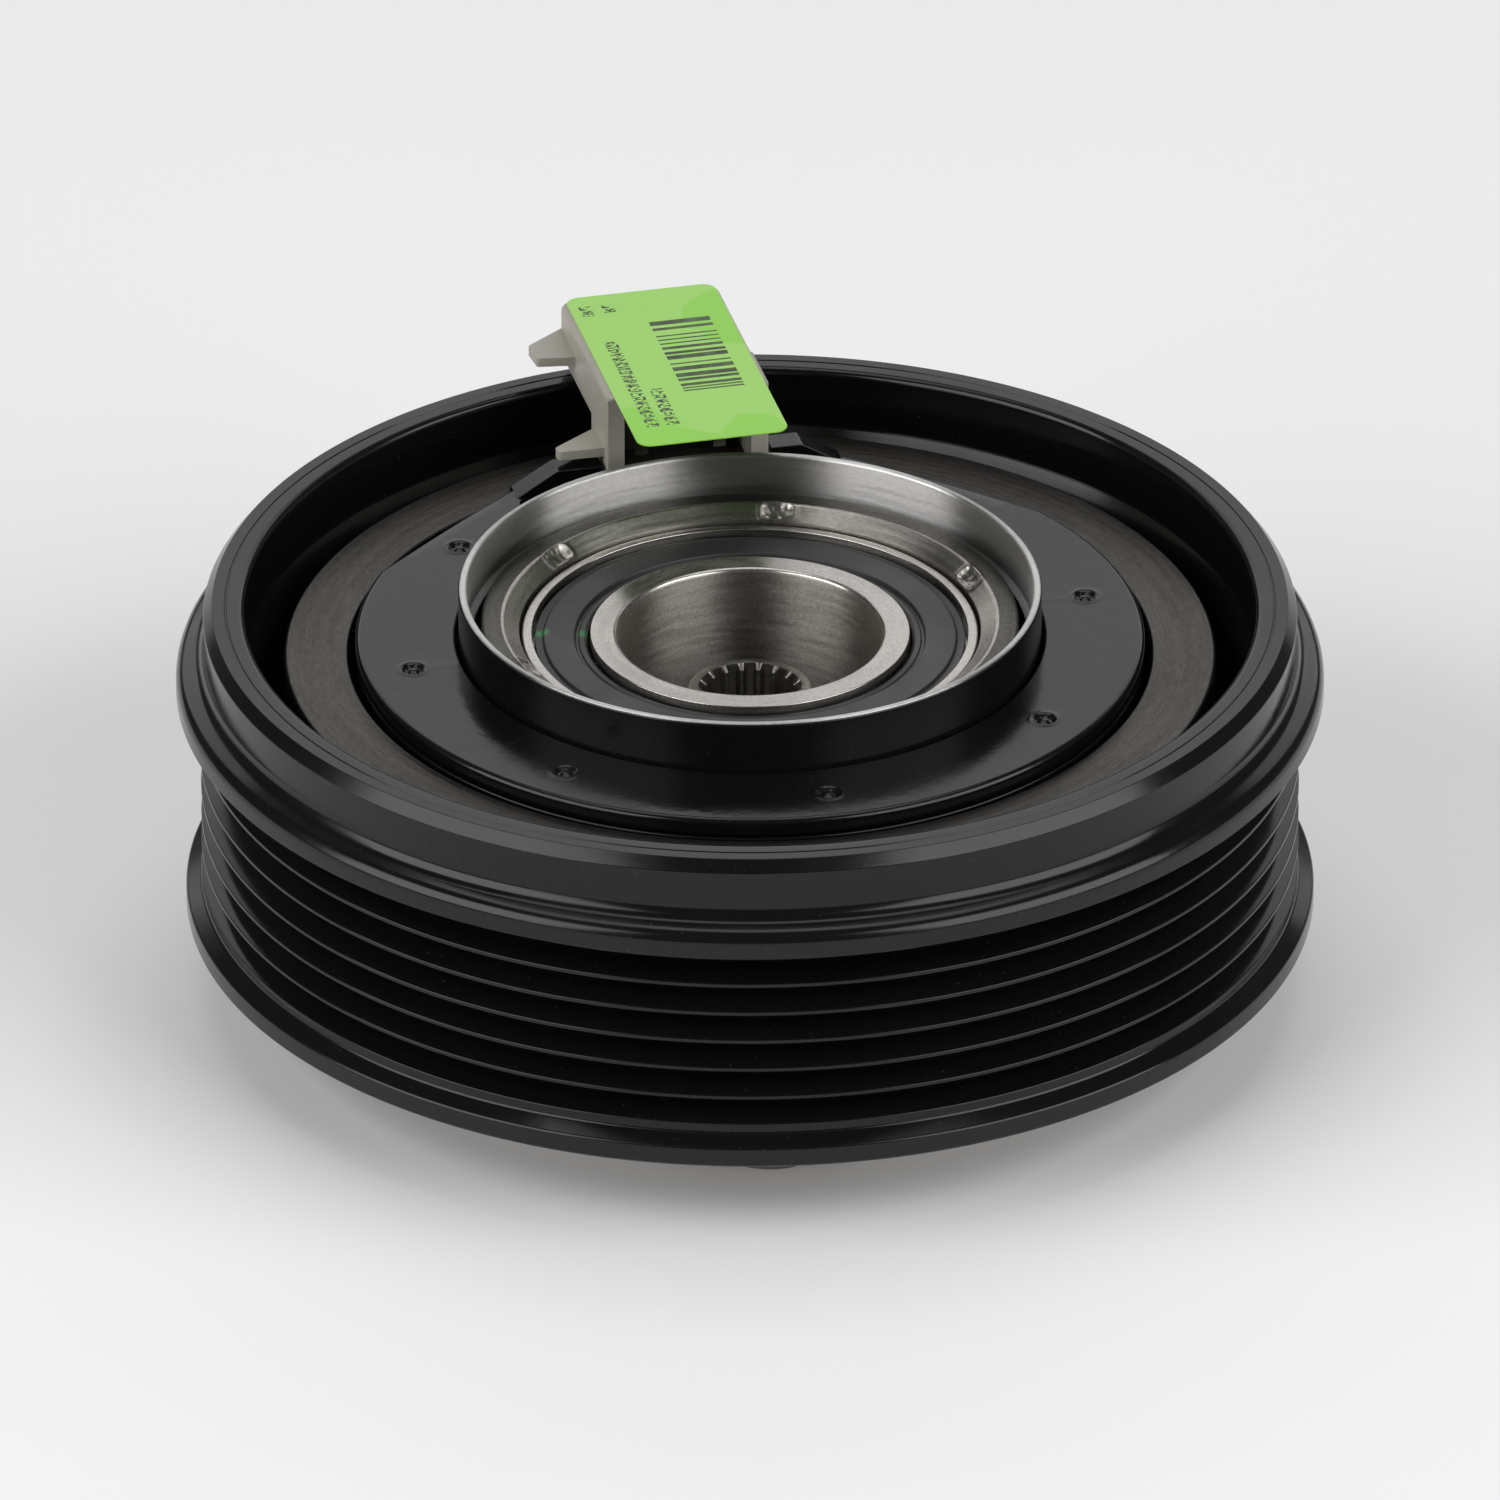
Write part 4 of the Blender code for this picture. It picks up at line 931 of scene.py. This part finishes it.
def connector_housing():
    bottom, top = CONNECTOR_HEIGHTS
    finish = [plastic, painted_shade_cavity]
    made = block("connector_housing_detail", (-HALF_WIDTH, 0, bottom),
                 (HALF_WIDTH, CONNECTOR_LENGTH, top), finish, HOUSING_CORNER)
    bevelled(made, 0.95, 5)
    foot = HALF_WIDTH + 0.14
    base = block("foot", (-foot, -0.05, FOOT_BOTTOM), (foot, FOOT_LENGTH, top - 0.55), finish, 0.2)
    combine(made, base, "UNION")
    for lug in LUGS:
        combine(made, side_lug(*lug), "UNION")
    for side, root in zip((-1, 1), STRAP_ROOTS):
        ends = sorted((side * (HALF_WIDTH - 1), side * (HALF_WIDTH + root - STRAP_RAMP - 0.9)))
        base = block("base", (ends[0], 0.1, FOOT_BOTTOM + 0.02), (ends[1], 4.6, -2.9), finish, 0.15)
        combine(made, base, "UNION")
    inside = HALF_WIDTH - CONNECTOR_WALL
    floor_at, roof_at = RECESS_HEIGHTS
    recess = block("recess", (-inside, -1, floor_at), (inside, RECESS_DEPTH, roof_at), finish)
    combine(made, recess, "DIFFERENCE")
    socket = block("socket", (-inside, SOCKET_START, SOCKET_HEIGHTS[0]),
                   (inside, CONNECTOR_LENGTH + 1, SOCKET_HEIGHTS[1]), finish)
    combine(made, socket, "DIFFERENCE")
    for x in (-BLADE_OFFSET, BLADE_OFFSET):
        slot = block("slot", (x - 1.05, 6.0, 3.8), (x + 1.05, 11.0, 5.2), finish)
        combine(made, slot, "DIFFERENCE")
    bevelled(made, 0.22, 3, 40)
    # Faces inside the recess get material 1, the near-black painted shade.
    for face in made.data.polygons:
        x, y, z = face.center / MM
        deep = 0.4 < y < RECESS_DEPTH + 0.3 and floor_at - 0.3 < z < roof_at + 0.3
        face.material_index = 1 if abs(x) < inside - 0.01 and deep else 0
    show(smooth(made, math.radians(50)), "stator", "connector_plastic", "connector_housing")


def connector_terminals():
    for label, side in (("left", -1), ("right", 1)):
        x = side * BLADE_OFFSET
        left, right = x - BLADE_HALF, x + BLADE_HALF
        blade = block(f"connector_terminal_{label}_detail", (left, BLADE_SPAN[0], BLADE_HEIGHTS[0]),
                      (right, BLADE_SPAN[1], BLADE_HEIGHTS[1]), [tinned_brass])
        leg = block("leg", (left, BLADE_SPAN[0], -1.8), (right, 4.4, 4.5), [tinned_brass])
        combine(blade, leg, "UNION")
        bevelled(blade, 0.18, 3, 40)
        show(smooth(blade), "stator", "tinned_brass", f"connector_terminal_{label}")


def connector_label():
    low, high = LABEL_SPAN
    half = LABEL_WIDTH / 2
    corners = [(-half, low, 1.6), (half, low, 1.6), (half, high, 1.6), (-half, high, 1.6)]
    bottom = CONNECTOR_HEIGHTS[1] + 0.05
    made = slab("connector_label_detail", rounded(corners), bottom, bottom + 0.12, [label_finish],
                CONNECTOR_TURN, CONNECTOR_AT)
    show(smooth(made), "stator", "label_paper", "connector_label")


# ------------------------------------------------------- armature and hub

def rivet_places():
    places = []
    for i in range(RIVET_COUNT):
        angle = RIVET_FIRST + 360 / RIVET_COUNT * i
        places.append((polar(OUTER_RIVET_CIRCLE, angle),
                       polar(INNER_RIVET_CIRCLE, angle - RIVET_SWEEP)))
    return places


def hole_cutter(place):
    wide, narrow = RIVET_HOLE
    corners = [(0.0, ARMATURE_REAR + 1), (wide, ARMATURE_REAR + 1), (wide, -41.0), (narrow, -42.1),
               (narrow, ARMATURE_FRONT - 1), (0.0, ARMATURE_FRONT - 1)]
    made = lathe("hole", corners, [], SMALL_STEPS, closed=False)
    made.location += Vector((*place, 0.0)) * MM
    return made


def armature_plate():
    inner, outer = ARMATURE_RADII
    corners = [(outer, ARMATURE_REAR, 0.5), (outer, ARMATURE_FRONT, 0.4),
               (inner, ARMATURE_FRONT, 0.3), (inner, ARMATURE_REAR, 0.3)]
    made = lathe("armature_plate_detail", corners, [armature_steel], RING_STEPS)
    circle, half = ARMATURE_SLOT_CIRCLE, ARMATURE_SLOT_HALF
    for i in range(ARMATURE_SLOTS):
        middle = ARMATURE_SLOT_FIRST + 360 / ARMATURE_SLOTS * i
        first, last = middle - ARMATURE_SLOT_REACH, middle + ARMATURE_SLOT_REACH
        outline = arc((0, 0), circle + half, first, last, 16)
        outline += arc(polar(circle, last), half, last + 15, last + 165, 6)
        outline += arc((0, 0), circle - half, last, first, 16)
        outline += arc(polar(circle, first), half, first - 165, first - 15, 6)
        combine(made, slab("slot", outline, ARMATURE_FRONT - 1, ARMATURE_REAR + 1, []), "DIFFERENCE")
    for place, _ in rivet_places():
        combine(made, hole_cutter(place), "DIFFERENCE")
    bevelled(made, 0.2, 2, 50)
    show(smooth(made), "armature", "armature_steel", "armature_plate")


def splined_hub():
    def spline(r, z, angle):
        """Gives the bore its teeth."""
        if r > 5.5 or z < NUT_FACE:
            return r, z
        share = angle / math.tau * SPLINE_TEETH % 1.0
        rise = min(max((abs(share - 0.5) - 0.18) / 0.26, 0.0), 1.0)
        bore = SPLINE_ROOT + (SPLINE_TIP - SPLINE_ROOT) * rise * rise * (3 - 2 * rise)
        return max(bore, r - SPLINE_TIP + bore), z

    corners = [
        (BOSS_RADIUS, BOSS_REAR, 0.35), (BOSS_RADIUS, -34.0, 3.0), (9.5, -37.6, 1.0),
        (12.5, HUB_FLANGE_REAR, 1.2), (HUB_FLANGE, HUB_FLANGE_REAR, 0.5),
        (HUB_FLANGE, ARMATURE_FRONT, 0.4), (NUT_RECESS, ARMATURE_FRONT, 0.5),
        (NUT_RECESS, NUT_FACE, 0.3), (6.2, NUT_FACE), (SPLINE_TIP, -38.35), (SPLINE_TIP, -11.5),
        (5.9, BOSS_REAR),
    ]

    def zone(r, z):
        return 1 if (r < 7.0 and z > -38.2) else 0

    finish = [hub_steel, spline_steel]
    made = lathe("splined_hub_detail", corners, finish, SPLINE_TEETH * 24, zone, spline)
    for _, place in rivet_places():
        combine(made, hole_cutter(place), "DIFFERENCE")
    bevelled(made, 0.15, 2, 60)
    show(smooth(made), "hub", "hub_steel", "splined_hub")


def leaf_spring(index, outer, inner):
    """A strap with round ends. Its mesh has many rows across."""
    big, small = SPRING_LUGS
    span = (Vector(inner) - Vector(outer)).length
    along = (Vector(inner) - Vector(outer)).normalized()
    across = Vector((-along.y, along.x))
    lean = math.acos((big - small) / span)
    first, last = big * math.cos(lean), span + small * math.cos(lean)
    rows = [-big * math.cos(math.radians(a)) for a in range(0, 84, 6)]
    rows += [first + (last - first) * i / 40 for i in range(41)]
    rows += [span + small * math.sin(math.radians(a)) for a in range(18, 91, 6)]
    low, edge = SPRING_REAR - SPRING_THICKNESS, 0.18
    vertices, faces = [], []
    ring = 10
    for row in rows:
        if row < first:
            half = math.sqrt(max(big * big - row * row, 0.0))
        elif row > last:
            half = math.sqrt(max(small * small - (row - span) ** 2, 0.0))
        else:
            share = (row - first) / (last - first)
            half = (big + (small - big) * share) * math.sin(lean)
        half = max(half, 0.25)
        inset = max(half - edge, 0.05)
        for side, height in ((half, low + edge), (half, SPRING_REAR - edge), (inset, SPRING_REAR),
                             (inset / 3, SPRING_REAR), (-inset / 3, SPRING_REAR),
                             (-inset, SPRING_REAR), (-half, SPRING_REAR - edge), (-half, low + edge),
                             (-inset, low), (inset, low)):
            point = Vector(outer) + along * row + across * side
            vertices.append((point.x, point.y, height))
    for i in range(len(rows) - 1):
        for k in range(ring):
            m = (k + 1) % ring
            faces.append((i * ring + k, (i + 1) * ring + k, (i + 1) * ring + m, i * ring + m))
    faces.append(tuple(range(ring)))
    faces.append(tuple((len(rows) - 1) * ring + k for k in reversed(range(ring))))
    mesh = mesh_of("leaf_spring", vertices, faces)
    weld(mesh)
    made = object_of(f"leaf_spring_{index}_detail", mesh, [spring_steel])
    smooth(made)
    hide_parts(f"leaf_spring_{index}")
    height = REAR_PLANE + (low + SPRING_REAR) / 2 * MM
    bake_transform(made)


def rivet(name, place, body):
    corners = [
        (0.0, -40.3), (3.9, -40.3, 0.1), (3.9, -40.8, 0.15), (2.55, -42.1, 0.2), (2.55, -45.7, 0.0),
        (3.2, -45.7, 0.08), (3.2, -46.6, 0.3), (2.5, -47.4, 0.3), (1.1, -47.4, 0.1),
        (0.8, -47.15, 0.1), (0.0, -47.15),
    ]
    made = lathe(f"{name}_detail", corners, [rivet_steel], SMALL_STEPS, closed=False)
    made.location += Vector((*place, 0.0)) * MM
    show(smooth(made), body, "rivet_steel", name)


# ----------------------------------------------------------------- stage

def floor():
    """A pale floor that is clear from below and lets the light from below reach the part."""
    half = 8.0
    mesh = bpy.data.meshes.new("floor")
    mesh.from_pydata([(-half, -half, 0), (half, -half, 0), (half, half, 0), (-half, half, 0)], [],
                     [(0, 1, 2, 3)])
    made = bpy.data.objects.new("floor", mesh)
    bpy.context.scene.collection.objects.link(made)
    finish = Finish("floor", (0.86, 0.86, 0.86), 0.9, Specular_IOR_Level=0.1)
    clear = finish.node("ShaderNodeBsdfTransparent")
    side = finish.node("ShaderNodeNewGeometry").outputs["Backfacing"]
    mixed = finish.node("ShaderNodeMixShader", Fac=side)
    finish.tree.links.new(finish.shader.outputs[0], mixed.inputs[1])
    finish.tree.links.new(clear.outputs[0], mixed.inputs[2])
    output = finish.tree.nodes["Material Output"]
    finish.tree.links.new(mixed.outputs[0], output.inputs["Surface"])
    mesh.materials.append(finish.material)
    made.visible_shadow = False


def softbox(name, at, size, power):
    light = bpy.data.lights.new(name, "AREA")
    light.shape = "RECTANGLE"
    light.size, light.size_y = size
    light.energy = power
    made = bpy.data.objects.new(name, light)
    made.location = at
    made.rotation_euler = (-Vector(at)).to_track_quat("-Z", "Y").to_euler()
    made.visible_camera = False
    bpy.context.scene.collection.objects.link(made)


def studio():
    world = bpy.data.worlds.new("studio")
    world.use_nodes = True
    background = world.node_tree.nodes["Background"]
    background.inputs["Color"].default_value = (1.0, 1.0, 1.0, 1.0)
    background.inputs["Strength"].default_value = 0.08
    bpy.context.scene.world = world
    softbox("softbox_left", (-1.3, -0.75, 0.85), (1.7, 1.3), 25.0)
    softbox("softbox_right", (1.3, -0.75, 0.85), (1.7, 1.3), 25.0)
    softbox("softbox_top", (0.0, 0.4, 1.8), (1.4, 1.0), 8.0)
    softbox("softbox_back", (0.0, 2.2, 1.15), (3.2, 1.4), 14.0)
    softbox("softbox_below", (0.0, 0.0, -1.6), (2.0, 2.0), 55.0)
    bpy.context.scene.view_settings.view_transform = "Standard"


def camera():
    lens = bpy.data.cameras.new("camera")
    lens.sensor_width = 36.0
    lens.lens = CAMERA_LENS
    lens.clip_start, lens.clip_end = 0.1, 20.0
    made = bpy.data.objects.new("camera", lens)
    bpy.context.scene.collection.objects.link(made)
    elevation = math.radians(CAMERA_ELEVATION)
    back = Vector((0.0, -math.cos(elevation), math.sin(elevation)))
    aim = Vector((0.0, 0.0, REAR_PLANE - AIM_BELOW_REAR * MM))
    made.location = aim + back * CAMERA_DISTANCE
    made.rotation_euler = (-back).to_track_quat("-Z", "Y").to_euler()
    bpy.context.scene.camera = made


pulley_rim()
rotor()
bearing()
coil_shell()
coil_windings()
coil_plate()
connector_housing()
connector_terminals()
connector_label()
armature_plate()
splined_hub()
for number, (outer_rivet, inner_rivet) in enumerate(rivet_places(), 1):
    leaf_spring(number, outer_rivet, inner_rivet)
    rivet(f"armature_rivet_{number}", outer_rivet, "armature")
    rivet(f"hub_rivet_{number}", inner_rivet, "hub")
floor()
studio()
camera()
